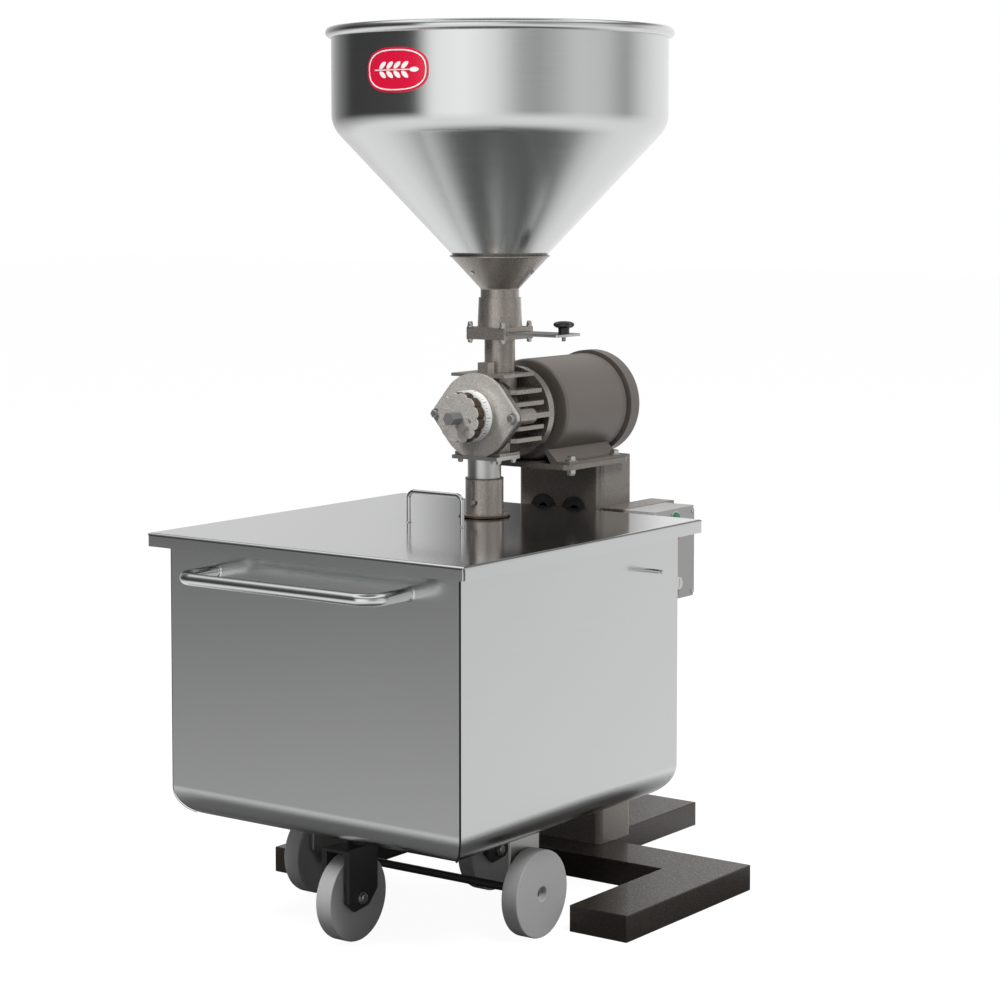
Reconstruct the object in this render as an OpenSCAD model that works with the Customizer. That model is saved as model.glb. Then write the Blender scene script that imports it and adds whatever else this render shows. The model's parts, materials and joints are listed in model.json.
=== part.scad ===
// Floor-standing disc mill: a foot-mounted motor drives a pair of grinding discs, a conical hopper
// feeds them through a slide gate, and the ground product falls through a drop sleeve into a wheeled bin.
// X is to the right, Y is to the back, Z is up. The origin is on the floor under the cross bar's centre.

/* [Stand] */
// Width over the two front legs
base_w = 832; // [800:1:900]
// Width of each flat bar of the base
bar_w = 125; // [115:1:130]
// Height of each flat bar
bar_h = 50; // [40:1:60]
// Length of the front legs in front of the cross bar's centre
leg_l = 374; // [300:1:450]
// Length of the rear spine behind the cross bar's centre
spine_l = 435; // [350:1:500]
// Width of the square post
post_w = 200; // [190:1:205]
// Depth of the post
post_d = 115; // [110:1:120]
// Height of the post's top above the floor
post_top = 812; // [806:1:816]

/* [Mill and motor] */
// Height of the shaft above the motor plate
shaft_h = 100; // [100:1:104]
// Radius of the motor's body
motor_r = 99; // [96:1:99]
// Radius of the fan cowl
cowl_r = 105; // [103:1:108]
// Outer radius of the grinding discs
disc_r = 50; // [44:1:52]
// Half width of the front cover over its two bolted tips
cover_tip = 101; // [98:1:104]
// Half height of the front cover
cover_r = 81; // [79:1:82]
// Number of finger grooves round the dial
dial_grooves = 12; // [8:1:16]

/* [Hopper] */
// Outer radius of the hopper's straight wall
hopper_r = 321; // [280:1:330]
// Height of the bend between the cone and the straight wall
hopper_bend_z = 1470; // [1440:1:1500]
// Height of the middle of the rolled rim
hopper_rim_z = 1647; // [1600:1:1700]
// Radius of the rolled rim's bead
bead_r = 10; // [6:1:12]

/* [Spout and gate] */
// Outer radius of the outlet tube
spout_r = 32; // [30:0.5:33]
// How far the gate plate stands open
gate_open = 60; // [56:1:62]
// How far the sleeve drops into the bin
sleeve_drop = 37; // [30:1:40]

/* [Bin] */
// Width of the bin
bin_w = 660; // [600:1:680]
// Length of the bin
bin_l = 688; // [640:1:700]
// Height of the bin's floor above the ground
bin_z = 200; // [196:1:210]
// Radius of the bin's bottom edges
bin_edge_r = 60; // [40:1:70]
// Diameter of the wheels
wheel_d = 160; // [150:1:160]
// Width of the wheels
wheel_w = 35; // [30:1:36]

/* [Hidden] */
$fn = 64;

hammertone = [0.43, 0.40, 0.37];
dark_paint = [0.17, 0.15, 0.14];
motor_paint = [0.40, 0.38, 0.36];
stainless = [0.72, 0.73, 0.73];
zinc = [0.78, 0.78, 0.76];
tool_steel = [0.45, 0.45, 0.47];
copper_brown = [0.55, 0.33, 0.20];
black_plastic = [0.06, 0.06, 0.06];
polyamide = [0.80, 0.80, 0.80];
switch_grey = [0.62, 0.62, 0.61];

run_fit = 0.05;
gap = 0.4;
cut = 1;

// stand
post_y0 = 11;
post_y1 = post_y0 + post_d;
post_corner = 14;
post_wall = 6;
post_hole_r = 27;
post_hole_x = 37.5;
post_hole_z = 714;
plate_t = 10;
plate_w = 240;
plate_y0 = -129;
plate_y1 = post_y1;
plate_wide_y1 = 84;
plate_corner = 16;
plate_z = post_top;

// mill and motor, along Y at the height mill_z
mill_z = plate_z + plate_t + shaft_h;
cover_y0 = -272;
cover_t = 10;
flange_t = 10;
flange_y0 = cover_y0 + cover_t;
drum_y0 = flange_y0 + flange_t;
drum_y1 = -212;
drum_r = 66;
chamber_r = 58;
barrel_r = 38;
feed_r = 30;
ring_y0 = -149;
ring_y1 = -132;
ring_r = 88;
fin_y1 = -163;
fin_pitch = 23;
fin_t = 8;
fin_outer = 85;
deck_z = 79;
deck_t = 6;
lug_h = 22;
adaptor_r = 74;
motor_y0 = -102;
shield_t = 16;
motor_y1 = 111;
cowl_y0 = 113;
cowl_y1 = 151;
cowl_t = 1.5;
shaft_r = 12.5;
shaft_y0 = -246;
shaft_y1 = 138;
bearing_r = 26;
bearing_w = 15;
stator_y0 = -46;
stator_y1 = 66;
stator_bore = 52;
disc_t = 8;
disc_gap = 3;
fixed_y0 = -232;
rotating_y0 = fixed_y0 - disc_gap - disc_t;
dial_y0 = -324;
dial_r = 48;
ring_dial_y0 = -300;
ring_dial_y1 = -282;
boss_y0 = ring_dial_y1 + gap;
spindle_r = 10;
spindle_y0 = -354;
spindle_y1 = -258;
nose_r = 5;
nose_y1 = -251;
thrust_y0 = -257;

// outlet and inlet
outlet_y = -239;
plate_out_z0 = 838;
plate_out_t = 7;
outlet_plate_x = 53;
outlet_plate_y1 = -197;
tube_wall = 2;
tube_z0 = 741;
sleeve_r0 = spout_r + 0.3;
sleeve_r1 = spout_r + 4.5;
sleeve_z0 = 728.5;
sleeve_z1 = 802;
sleeve_flange_r = 47.5;
slot_w = 8;
slot_z0 = 752;
inlet_y = -189;
inlet_r = 29.5;
inlet_bore = 26;
inlet_z1 = 1065;
gate_half_x = 44;
gate_half_y = 48;
gate_floor_z = 1073.5;
gate_roof_z = 1079.5;
gate_top_z = 1088;
gate_plate_w = 78;
gate_plate_t = 5;
gate_x0 = gate_open - 32;
gate_x1 = gate_x0 + 135;
gate_knob_x = gate_x1 - 14;
socket_z1 = 1144;
neck_r = 37;
cup_z0 = 1162;
cup_z1 = 1225;
cup_rim_r = 96;
cup_lip_r = cup_rim_r - 2;
cup_lip_z = cup_z1 - 3;

// hopper
sheet_t = 2;
cone_z0 = 1178;
cone_r1 = 90;
cone_rise = (hopper_r - cone_r1) / (hopper_bend_z - cup_z1);
cone_angle = atan(1 / cone_rise);
bend_r = 60;
bend_t = bend_r * tan((90 - cone_angle) / 2);

// switch box, on the post's right side
bracket_x1 = 155;
bracket_sheet = 4;
bracket_z0 = 560;
bracket_z1 = 726;
bracket_y1 = 195;
box_x1 = 218;
box_y0 = 13;
box_y1 = 159;
box_z0 = 545;
box_z1 = 725;
box_wall = 3;
cover_x1 = 225;
button_y = 86;
start_z = 707;
stop_z = 672;
lock_z = 578;
button_r = 10;

// bin
bin_y0 = -758;
bin_y1 = bin_y0 + bin_l;
bin_top = 724.6;
lid_over = 31;
lid_y1_over = 38;
lid_z0 = 702;
lid_top = 727;
lid_edge_r = 6;
lid_hole_r = 50;
handle_r = 11;
handle_x = 220;
handle_y = bin_y0 - 101;
handle_z = 665;
handle_bend = 35;
lid_handle_r = 4;
lid_handle_x = 62.5;
lid_handle_y = -394;
lid_handle_z = 790;
lid_handle_bend = 13;
pin_y = -181;
pin_z = 645;
wheel_r = wheel_d / 2;
axle_y = -434;
axle_r = 7.5;
axle_x = 262;
fixed_wheel_x = 238;
bracket_x = 228;
bracket_t = 6;
bracket_l = 90;
front_wheel_y = -645;
rear_wheel_y = -223;
trail = 35;
fork_x = 20;
fork_t = 5;
fork_top = 174;
fork_axle_r = 6;
swivel_plate_t = 8;
kingpin_r = 8;
race_r = 30;

// outline helpers

function arc(cx, cy, r, a0, a1, n) =
  [for (i = [0:n]) let (a = a0 + (a1 - a0) * i / n) [cx + r * cos(a), cy + r * sin(a)]];

// Radius of the hopper cone's outer side at a height
function cone_at(z) = cone_r1 + (z - cup_z1) * cone_rise;

// A solid of revolution about the mill's axis, from y0 to y1
module along_mill(y0) {
  translate([0, y0, mill_z]) rotate([-90, 0, 0]) children();
}

module mill_disc(r, y0, y1) {
  along_mill(y0) cylinder(r = r, h = y1 - y0);
}

module mill_ring(r1, r0, y0, y1) {
  difference() {
    mill_disc(r1, y0, y1);
    mill_disc(r0, y0 - cut, y1 + cut);
  }
}

// A box from its low corner to its high corner
module block(a, b) {
  translate(a) cube(b - a);
}

module rod_x(r, x0, x1, y, z) {
  translate([x0, y, z]) rotate([0, 90, 0]) cylinder(r = r, h = x1 - x0);
}

// A rectangle with round corners, as exact arcs
module round_rect(x0, y0, x1, y1, r) {
  translate([x0 + r, y0]) square([x1 - x0 - 2 * r, y1 - y0]);
  translate([x0, y0 + r]) square([x1 - x0, y1 - y0 - 2 * r]);
  for (x = [x0 + r, x1 - r]) {
    for (y = [y0 + r, y1 - r]) {
      translate([x, y]) circle(r = r);
    }
  }
}

// A rectangle with only its two low corners round
module low_round(x0, x1, z0, z1, r) {
  translate([x0, z0 + r]) square([x1 - x0, z1 - z0 - r]);
  translate([x0 + r, z0]) square([x1 - x0 - 2 * r, z1 - z0]);
  for (x = [x0 + r, x1 - r]) {
    translate([x, z0 + r]) circle(r = r);
  }
}

// The front cover's outline: a round middle and two bolted tips, joined by their common tangents
module tip_outline(tip, r, tip_r) {
  reach = tip - tip_r;
  a = acos((r - tip_r) / reach);
  polygon(concat(arc(reach, 0, tip_r, -a, a, 10), arc(0, 0, r, a, 180 - a, 32),
    arc(-reach, 0, tip_r, 180 - a, 180 + a, 10), arc(0, 0, r, 180 + a, 360 - a, 32)));
}

// A hexagon bolt along +Z: the head's underside at 0, the shank below it
module bolt(r, shank, head_h) {
  cylinder(r = r * 1.85, h = head_h, $fn = 6);
  translate([0, 0, -shank]) cylinder(r = r, h = shank + cut, $fn = 24);
}

// stand

module base_frame() color(dark_paint) {
  half = base_w / 2;
  bar = bar_w / 2;
  linear_extrude(bar_h) polygon([[-half, -leg_l], [-half + bar_w, -leg_l], [-half + bar_w, -bar],
    [half - bar_w, -bar], [half - bar_w, -leg_l], [half, -leg_l], [half, bar], [bar, bar],
    [bar, spine_l], [-bar, spine_l], [-bar, bar], [-half, bar]]);
}

module post() color(hammertone) {
  difference() {
    translate([0, 0, bar_h]) linear_extrude(post_top - bar_h) difference() {
      round_rect(-post_w / 2, post_y0, post_w / 2, post_y1, post_corner);
      round_rect(-post_w / 2 + post_wall, post_y0 + post_wall, post_w / 2 - post_wall,
        post_y1 - post_wall, post_corner - post_wall);
    }
    for (s = [-1, 1]) {
      translate([s * post_hole_x, post_y0 - cut, post_hole_z]) rotate([-90, 0, 0])
        cylinder(r = post_hole_r, h = post_wall + 2 * cut);
    }
  }
}

module post_grommets() color(black_plastic) {
  for (s = [-1, 1]) {
    translate([s * post_hole_x, post_y0 - 3, post_hole_z]) rotate([-90, 0, 0]) rotate_extrude()
      polygon([[12, 1.5], [post_hole_r + 2, 0], [post_hole_r + 2, 3], [post_hole_r, 3],
        [post_hole_r, 3 + post_wall], [post_hole_r + 2, 3 + post_wall],
        [post_hole_r + 2, 5 + post_wall], [12, 5 + post_wall]]);
  }
}

// The plate is wide under the motor's feet and flush with the post behind them.
// It has a shallow relief under the fan cowl, which is larger than the shaft height.
module motor_plate() color(hammertone) {
  half = plate_w / 2;
  difference() {
    translate([0, 0, plate_z]) linear_extrude(plate_t) {
      round_rect(-half, plate_y0, half, plate_wide_y1, plate_corner);
      round_rect(-post_w / 2, post_y0, post_w / 2, plate_y1, post_corner);
    }
    for (p = foot_bolt_points) {
      translate([p[0], p[1], plate_z - cut]) cylinder(r = 5.2, h = plate_t + 2 * cut);
    }
    mill_disc(cowl_r + gap, cowl_y0 - gap, plate_y1 + cut);
  }
}

// motor

foot_bolt_y = [-94, 57];
foot_bolt_x = 102;
foot_bolt_points = [for (s = [-1, 1]) for (y = foot_bolt_y) [s * foot_bolt_x, y]];
foot_y0 = -124;
foot_y1 = 81;
foot_t = 5;

module motor_barrel() color(motor_paint) {
  mill_ring(motor_r, motor_r - 6, motor_y0 + shield_t, motor_y1 - shield_t);
}

// Each foot is a flat flange bolted down, with a sheet that slopes up to the barrel
module motor_feet() color(motor_paint) {
  z0 = plate_z + plate_t;
  difference() {
    for (s = [-1, 1]) {
      mirror([s < 0 ? 1 : 0, 0, 0]) translate([0, foot_y1, z0]) rotate([90, 0, 0])
        linear_extrude(foot_y1 - foot_y0)
          polygon([[74, 0], [118, 0], [118, foot_t], [90, foot_t], [60, 34], [52, 34]]);
    }
    mill_disc(motor_r, foot_y0 - cut, foot_y1 + cut);
    for (p = foot_bolt_points) {
      translate([p[0], p[1], z0 - cut]) cylinder(r = 5.2, h = 12);
    }
  }
}

module motor_front_shield() color(motor_paint) {
  along_mill(motor_y0) difference() {
    rotate_extrude($fn = 96) polygon(concat([[0, 0], [motor_r - 12, 0]],
      arc(motor_r - 8, 8, 8, -60, 0, 5),
      [[motor_r, shield_t], [motor_r - 6, shield_t], [motor_r - 6, 9], [34, 9], [34, 24], [0, 24]]));
    translate([0, 0, 9]) cylinder(r = bearing_r, h = 16);
    translate([0, 0, -cut]) cylinder(r = 18, h = 12);
  }
}

module motor_rear_shield() color(motor_paint) {
  along_mill(motor_y1 - shield_t) difference() {
    rotate_extrude($fn = 96) polygon([[0, -8], [34, -8], [34, 7], [motor_r - 6, 7], [motor_r - 6, 0],
      [motor_r, 0], [motor_r, 10], [motor_r - 5, shield_t], [0, shield_t]]);
    translate([0, 0, -9]) cylinder(r = bearing_r, h = 16);
    translate([0, 0, 6]) cylinder(r = 18, h = 12);
  }
}

module fan_cowl() color(motor_paint) {
  depth = cowl_y1 - cowl_y0;
  edge = 12;
  along_mill(cowl_y0) difference() {
    rotate_extrude($fn = 96) polygon(concat([[motor_r - 6, 0], [cowl_r, 0]],
      arc(cowl_r - edge, depth - edge, edge, 0, 90, 8), [[0, depth], [0, depth - cowl_t]],
      arc(cowl_r - edge, depth - edge, edge - cowl_t, 90, 0, 8), [[cowl_r - cowl_t, cowl_t],
      [motor_r - 6, cowl_t]]));
    for (ring = [0:2]) {
      for (i = [0:11 + 6 * ring]) {
        rotate([0, 0, i * 360 / (12 + 6 * ring)]) translate([26 + 22 * ring, 0, depth - 3])
          cylinder(r = 5, h = 5, $fn = 24);
      }
    }
  }
}

module stator() color(copper_brown) {
  mill_ring(motor_r - 6, stator_bore, stator_y0, stator_y1);
}

module motor_bearings() color(tool_steel) {
  mill_ring(bearing_r, shaft_r + run_fit, motor_y0 + 9, motor_y0 + 9 + bearing_w);
  mill_ring(bearing_r, shaft_r + run_fit, motor_y1 - shield_t - 8, motor_y1 - shield_t - 8 + bearing_w);
}

module mill_adaptor() color(dark_paint) {
  mill_ring(adaptor_r, 44, ring_y1, motor_y0);
}

module rotor_shaft() color(tool_steel) {
  mill_disc(shaft_r, shaft_y0, shaft_y1);
}

module rotor_core() color(tool_steel) {
  mill_ring(stator_bore - 0.5, shaft_r, stator_y0 - 2, stator_y1 + 2);
}

module cooling_fan() color(black_plastic) {
  fan_y0 = cowl_y0 + 6;
  mill_ring(24, shaft_r, fan_y0, fan_y0 + 18);
  mill_ring(82, shaft_r, fan_y0, fan_y0 + 3);
  for (i = [0:7]) {
    translate([0, 0, mill_z]) rotate([0, i * 45, 0]) translate([0, 0, -mill_z])
      block([22, fan_y0 + 1, mill_z - 1.5], [84, fan_y0 + 20, mill_z + 1.5]);
  }
}

// mill

module shaft_seal() color(black_plastic) {
  mill_ring(22, shaft_r + 0.1, ring_y0 + 2, ring_y0 + 12);
}

// The space that the outlet's plate takes up, for the flats under the housing and the cover
module outlet_clearance(over) {
  half = outlet_plate_x + 2;
  block([-half, cover_y0 - cut, plate_out_z0], [half, outlet_plate_y1, plate_out_z0 + plate_out_t + over]);
}

// The grinding chamber in front, a ribbed feed barrel behind it and a ring flange at the motor
module mill_housing() color(hammertone) {
  difference() {
    union() {
      along_mill(flange_y0) linear_extrude(flange_t) tip_outline(cover_tip, cover_r, 12);
      mill_disc(drum_r, drum_y0 - cut, drum_y1);
      mill_disc(barrel_r, drum_y1 - cut, ring_y0 + cut);
      mill_disc(ring_r, ring_y0, ring_y1);
      for (k = [-2, -1, 1, 2]) {
        z = mill_z + k * fin_pitch;
        x = fin_outer - 5 * (abs(k) - 1);
        translate([0, 0, z - fin_t / 2]) linear_extrude(fin_t)
          polygon([[-x + 8, drum_y0 - cut], [x - 8, drum_y0 - cut], [x, drum_y0 + 8], [x, fin_y1],
            [-x, fin_y1], [-x, drum_y0 + 8]]);
      }
      for (s = [-1, 1]) {
        translate([s * 84, drum_y0 - cut, mill_z]) rotate([-90, 0, 0]) cylinder(r = 15, h = 48);
        block([min(s * 20, s * 94), drum_y0, mill_z - 5], [max(s * 20, s * 94), ring_y0 + cut, mill_z + 5]);
      }
      block([-62, flange_y0, mill_z + deck_z - deck_t], [62, fin_y1, mill_z + deck_z]);
      block([-outlet_plate_x, flange_y0, mill_z - deck_z + 2],
        [outlet_plate_x, outlet_plate_y1, mill_z - deck_z + 2 + deck_t]);
      block([-34, flange_y0, mill_z - deck_z + 4], [34, -203, mill_z - 50]);
      translate([0, inlet_y, mill_z]) cylinder(r = inlet_r + 4, h = deck_z);
      block([1, flange_y0, mill_z + deck_z - cut], [25, flange_y0 + 20, mill_z + deck_z + lug_h]);
    }
    mill_disc(chamber_r, flange_y0 - cut, fixed_y0 + disc_t);
    mill_disc(feed_r, fixed_y0, ring_y0 + cut - 2);
    mill_disc(22, ring_y0 - 2, ring_y0 + 12);
    mill_disc(18, ring_y0, ring_y1 + cut);
    translate([0, inlet_y, mill_z]) cylinder(r = inlet_bore, h = deck_z + cut);
    block([-24, -250, mill_z - deck_z], [24, -226, mill_z - 40]);
    for (s = [-1, 1]) {
      translate([s * 90, flange_y0 - cut, mill_z]) rotate([-90, 0, 0]) cylinder(r = 5.1, h = 30);
    }
    outlet_clearance(0);
  }
}

// Radial furrows are cut into the face of each grinding disc
module disc_furrows(face_y) {
  for (i = [0:11]) {
    translate([0, 0, mill_z]) rotate([0, i * 30, 0]) translate([0, 0, -mill_z])
      block([32, face_y - 1.5, mill_z + 6], [disc_r + 4, face_y + 1.5, mill_z + 9]);
  }
}

module fixed_disc() color(tool_steel) {
  difference() {
    mill_ring(disc_r + 6, feed_r, fixed_y0, fixed_y0 + disc_t);
    disc_furrows(fixed_y0);
  }
}

module rotating_disc() color(tool_steel) {
  difference() {
    mill_ring(disc_r, shaft_r, rotating_y0, rotating_y0 + disc_t);
    disc_furrows(rotating_y0 + disc_t);
  }
}

// A one-turn screw on the shaft pushes the product forward into the discs
module feed_auger() color(tool_steel) {
  along_mill(fixed_y0 + 12) difference() {
    linear_extrude(height = 62, twist = 540, slices = 54, $fn = 24) {
      translate([10, -3]) square([17, 6]);
      circle(r = 16);
    }
    translate([0, 0, -cut]) cylinder(r = shaft_r, h = 70);
  }
}

module thrust_piece() color(tool_steel) {
  difference() {
    mill_disc(15, thrust_y0, shaft_y0 - gap);
    mill_disc(nose_r + run_fit, thrust_y0 - cut, shaft_y0 - 2);
  }
}

module front_cover() color(hammertone) {
  difference() {
    union() {
      along_mill(cover_y0) linear_extrude(cover_t) tip_outline(cover_tip, cover_r, 12);
      mill_disc(42, boss_y0, cover_y0 + cut);
    }
    mill_disc(spindle_r + run_fit, boss_y0 - cut, flange_y0 + cut);
    for (s = [-1, 1]) {
      translate([s * 90, cover_y0 - cut, mill_z]) rotate([-90, 0, 0]) cylinder(r = 5.1, h = 20);
    }
    outlet_clearance(gap);
  }
}

module dial_knob() color(hammertone) {
  difference() {
    mill_disc(dial_r, dial_y0, ring_dial_y0);
    mill_disc(spindle_r, dial_y0 - cut, ring_dial_y0 + cut);
    for (i = [0:dial_grooves - 1]) {
      translate([0, dial_y0 - cut, mill_z]) rotate([-90, i * 360 / dial_grooves, 0])
        translate([dial_r + 3.5, 0, 0]) cylinder(r = 8, h = 40, $fn = 32);
    }
  }
}

module scale_ring() color([0.9, 0.9, 0.88]) {
  mill_ring(50, spindle_r, ring_dial_y0, ring_dial_y1);
}

module adjusting_spindle() color(zinc) {
  mill_disc(spindle_r, spindle_y0 + 20, spindle_y1);
  mill_disc(nose_r, spindle_y1 - cut, nose_y1);
  along_mill(spindle_y0) cylinder(r = 13, h = dial_y0 - spindle_y0, $fn = 6);
}

// bolts and screws

// The bolts that hold the motor's feet and the front cover
module machine_bolts() color(zinc) {
  for (p = foot_bolt_points) {
    has_nut = p[1] < post_y0 - 20;
    translate([p[0], p[1], plate_z + plate_t + foot_t]) bolt(5, has_nut ? 28 : foot_t + plate_t, 7);
    if (has_nut) {
      translate([p[0], p[1], plate_z - 8]) cylinder(r = 9.2, h = 8, $fn = 6);
    }
  }
  for (s = [-1, 1]) {
    translate([s * 90, cover_y0, mill_z]) rotate([90, 0, 0]) bolt(5, 26, 7);
  }
}

gate_bolt_r = 2.7;
gate_bolt_points = [for (x = [-38, 38]) for (y = [-43.8, 43.8]) [x, y]];
outlet_bolt_r = 3;
outlet_bolt_points = [for (x = [-45, 45]) for (y = [-255, -207]) [x, y]];

// The smaller bolts of the gate's and the outlet's flanges
module flange_bolts() color(zinc) {
  for (p = gate_bolt_points) {
    translate([p[0], inlet_y + p[1], gate_top_z]) bolt(gate_bolt_r, 24, 5);
  }
  for (p = outlet_bolt_points) {
    translate([p[0], p[1], plate_out_z0]) rotate([180, 0, 0]) bolt(outlet_bolt_r, plate_out_t - cut, 5);
  }
}

// Slotted screws of the cup, the socket and the switch box
module small_screws() color(zinc) {
  cup_slope = (cup_lip_r - neck_r) / (cup_lip_z - cup_z0);
  screw_rise = 31;
  for (a = [-105, 15, 135]) {
    translate([0, inlet_y, 0]) rotate([0, 0, a])
      translate([neck_r + screw_rise * cup_slope, 0, cup_z0 + screw_rise])
        rotate([0, 90 + atan(cup_slope), 0]) cylinder(r = 3.5, h = 2.5, $fn = 24);
  }
  translate([0, inlet_y, 1112]) rotate([90, 0, -12]) translate([0, 0, 42])
    cylinder(r = 3.5, h = 2, $fn = 24);
  for (y = [box_y0 + 10, box_y1 - 10]) {
    for (z = [box_z0 + 10, box_z1 - 10]) {
      rod_x(3, cover_x1, cover_x1 + 2, y, z);
    }
  }
}

// outlet

module outlet_tube() color(zinc) {
  difference() {
    union() {
      block([-outlet_plate_x, cover_y0, plate_out_z0],
        [outlet_plate_x, outlet_plate_y1, plate_out_z0 + plate_out_t]);
      translate([0, outlet_y, tube_z0]) cylinder(r = spout_r, h = plate_out_z0 - tube_z0 + cut);
      translate([0, outlet_y, slot_z0 + 4]) rotate([90, 0, 0]) {
        cylinder(r = 3.2, h = sleeve_r1 + 2, $fn = 24);
        translate([0, 0, sleeve_r1 + gap]) cylinder(r = 5.5, h = 3, $fn = 32);
      }
    }
    translate([0, outlet_y, tube_z0 - cut]) cylinder(r = spout_r - tube_wall, h = 120);
    for (p = outlet_bolt_points) {
      translate([p[0], p[1], plate_out_z0 - cut])
        cylinder(r = outlet_bolt_r + 0.1, h = plate_out_t + 2 * cut);
    }
  }
}

// The sleeve drops over the tube; its slot rides on the tube's pin, with a locking notch at its foot
module outlet_sleeve() color(hammertone) {
  slot_z1 = slot_z0 + 8 + sleeve_drop - 4;
  difference() {
    union() {
      translate([0, outlet_y, sleeve_z0]) cylinder(r = sleeve_r1, h = sleeve_z1 - sleeve_z0);
      translate([0, outlet_y, sleeve_z0]) cylinder(r = sleeve_flange_r, h = 4);
    }
    translate([0, outlet_y, sleeve_z0 - cut]) cylinder(r = sleeve_r0, h = 100);
    translate([0, outlet_y, 0]) {
      block([-slot_w / 2, -50, slot_z0 + 4], [slot_w / 2, 0, slot_z1]);
      for (z = [slot_z0 + 4, slot_z1]) {
        translate([0, 0, z]) rotate([90, 0, 0]) cylinder(r = slot_w / 2, h = 50, $fn = 32);
      }
      block([0, -50, slot_z0], [11, 0, slot_z0 + 8]);
    }
  }
}

// inlet, gate and cup

module inlet_pipe() color(hammertone) {
  difference() {
    translate([0, inlet_y, mill_z + deck_z]) cylinder(r = inlet_r, h = inlet_z1 - mill_z - deck_z);
    translate([0, inlet_y, mill_z]) cylinder(r = inlet_bore, h = 300);
  }
}

module gate_frame() color(hammertone) {
  difference() {
    block([-gate_half_x, inlet_y - gate_half_y, inlet_z1], [gate_half_x, inlet_y + gate_half_y, gate_roof_z]);
    block([-gate_half_x - cut, inlet_y - gate_plate_w / 2 - gap, gate_floor_z],
      [gate_half_x + cut, inlet_y + gate_plate_w / 2 + gap, gate_roof_z + cut]);
    translate([0, inlet_y, inlet_z1 - cut]) cylinder(r = inlet_bore, h = 30);
    for (p = gate_bolt_points) {
      translate([p[0], inlet_y + p[1], inlet_z1 - cut]) cylinder(r = gate_bolt_r + 0.1, h = 30);
    }
  }
}

module hopper_socket() color(hammertone) {
  difference() {
    union() {
      block([-gate_half_x, inlet_y - gate_half_y, gate_roof_z],
        [gate_half_x, inlet_y + gate_half_y, gate_top_z]);
      translate([0, inlet_y, gate_top_z - cut])
        cylinder(r1 = 43, r2 = 40.5, h = socket_z1 - gate_top_z + cut);
    }
    translate([0, inlet_y, gate_top_z + 4]) cylinder(r = neck_r, h = 80);
    translate([0, inlet_y, gate_roof_z - cut]) cylinder(r = inlet_bore, h = 80);
    for (p = gate_bolt_points) {
      translate([p[0], inlet_y + p[1], gate_roof_z - cut]) cylinder(r = gate_bolt_r + 0.1, h = 30);
    }
  }
}

module hopper_cup() color(hammertone) {
  neck_bore = 31;
  cup_t = 4;
  translate([0, inlet_y, 0]) rotate_extrude($fn = 96)
    polygon([[neck_bore, gate_top_z + 4], [neck_r, gate_top_z + 4], [neck_r, cup_z0],
      [cup_lip_r, cup_lip_z], [cup_rim_r, cup_lip_z], [cup_rim_r, cup_z1],
      [cone_at(cup_z1), cup_z1], [cone_at(cone_z0), cone_z0], [neck_bore + 2, cup_z0 + cup_t]]);
}

module hopper() color(stainless) {
  rim_z = hopper_rim_z;
  fine = 128;
  outer = concat([[cone_at(cone_z0), cone_z0]],
    arc(hopper_r - bend_r, hopper_bend_z + bend_t, bend_r, cone_angle - 90, 0, 8), [[hopper_r, rim_z]]);
  inner = concat([[hopper_r - sheet_t, rim_z]],
    arc(hopper_r - bend_r, hopper_bend_z + bend_t, bend_r - sheet_t, 0, cone_angle - 90, 8),
    [[cone_at(cone_z0) - sheet_t / sin(cone_angle), cone_z0]]);
  translate([0, inlet_y, 0]) {
    rotate_extrude($fn = fine) polygon(concat(outer, inner));
    rotate_extrude($fn = fine) translate([hopper_r + 1, rim_z]) circle(r = bead_r, $fn = 32);
  }
}

// A plain oval plate that follows the hopper's wall
module hopper_badge() color([0.78, 0.05, 0.10]) {
  badge_z = (hopper_bend_z + hopper_rim_z) / 2 + 9;
  translate([0, inlet_y, 0]) intersection() {
    difference() {
      translate([0, 0, badge_z - 60]) cylinder(r = hopper_r + 0.8, h = 120, $fn = 128);
      translate([0, 0, badge_z - 61]) cylinder(r = hopper_r, h = 122, $fn = 128);
    }
    translate([0, 0, badge_z]) rotate([90, 0, 0]) linear_extrude(hopper_r + 20)
      round_rect(-72, -42, 72, 42, 30);
  }
}

// gate

module gate_plate() color(zinc) {
  z0 = gate_floor_z + 0.5;
  difference() {
    translate([0, 0, z0]) linear_extrude(gate_plate_t)
      round_rect(gate_x0, inlet_y - gate_plate_w / 2, gate_x1, inlet_y + gate_plate_w / 2, 6);
    translate([gate_knob_x, inlet_y, z0 - cut]) cylinder(r = 4, h = 20);
  }
}

module gate_knob() color(black_plastic) {
  z1 = gate_floor_z + 0.5 + gate_plate_t;
  translate([gate_knob_x, inlet_y, 0]) {
    translate([0, 0, z1 - gate_plate_t - 9]) cylinder(r = 4, h = 20);
    translate([0, 0, z1]) cylinder(r = 10.5, h = 14);
    translate([0, 0, z1 + 12]) difference() {
      rotate_extrude() polygon(concat([[0, 0], [16, 0]], arc(15, 5, 5, -80, 80, 8), [[0, 12]]));
      for (i = [0:5]) {
        rotate([0, 0, i * 60 + 30]) translate([24, 0, -cut]) cylinder(r = 7, h = 20, $fn = 32);
      }
    }
  }
}

// switch box

module switch_bracket() color(hammertone) {
  difference() {
    block([post_w / 2, post_y0, bracket_z0], [bracket_x1, bracket_y1, bracket_z1]);
    block([post_w / 2 + bracket_sheet, post_y0 - cut, bracket_z0 - cut],
      [bracket_x1 - bracket_sheet, bracket_y1 + cut, bracket_z1 - bracket_sheet]);
  }
}

module switch_box() color(switch_grey) {
  difference() {
    block([bracket_x1, box_y0, box_z0], [box_x1, box_y1, box_z1]);
    block([bracket_x1 + box_wall, box_y0 + box_wall, box_z0 + box_wall],
      [box_x1 + cut, box_y1 - box_wall, box_z1 - box_wall]);
  }
}

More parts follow.
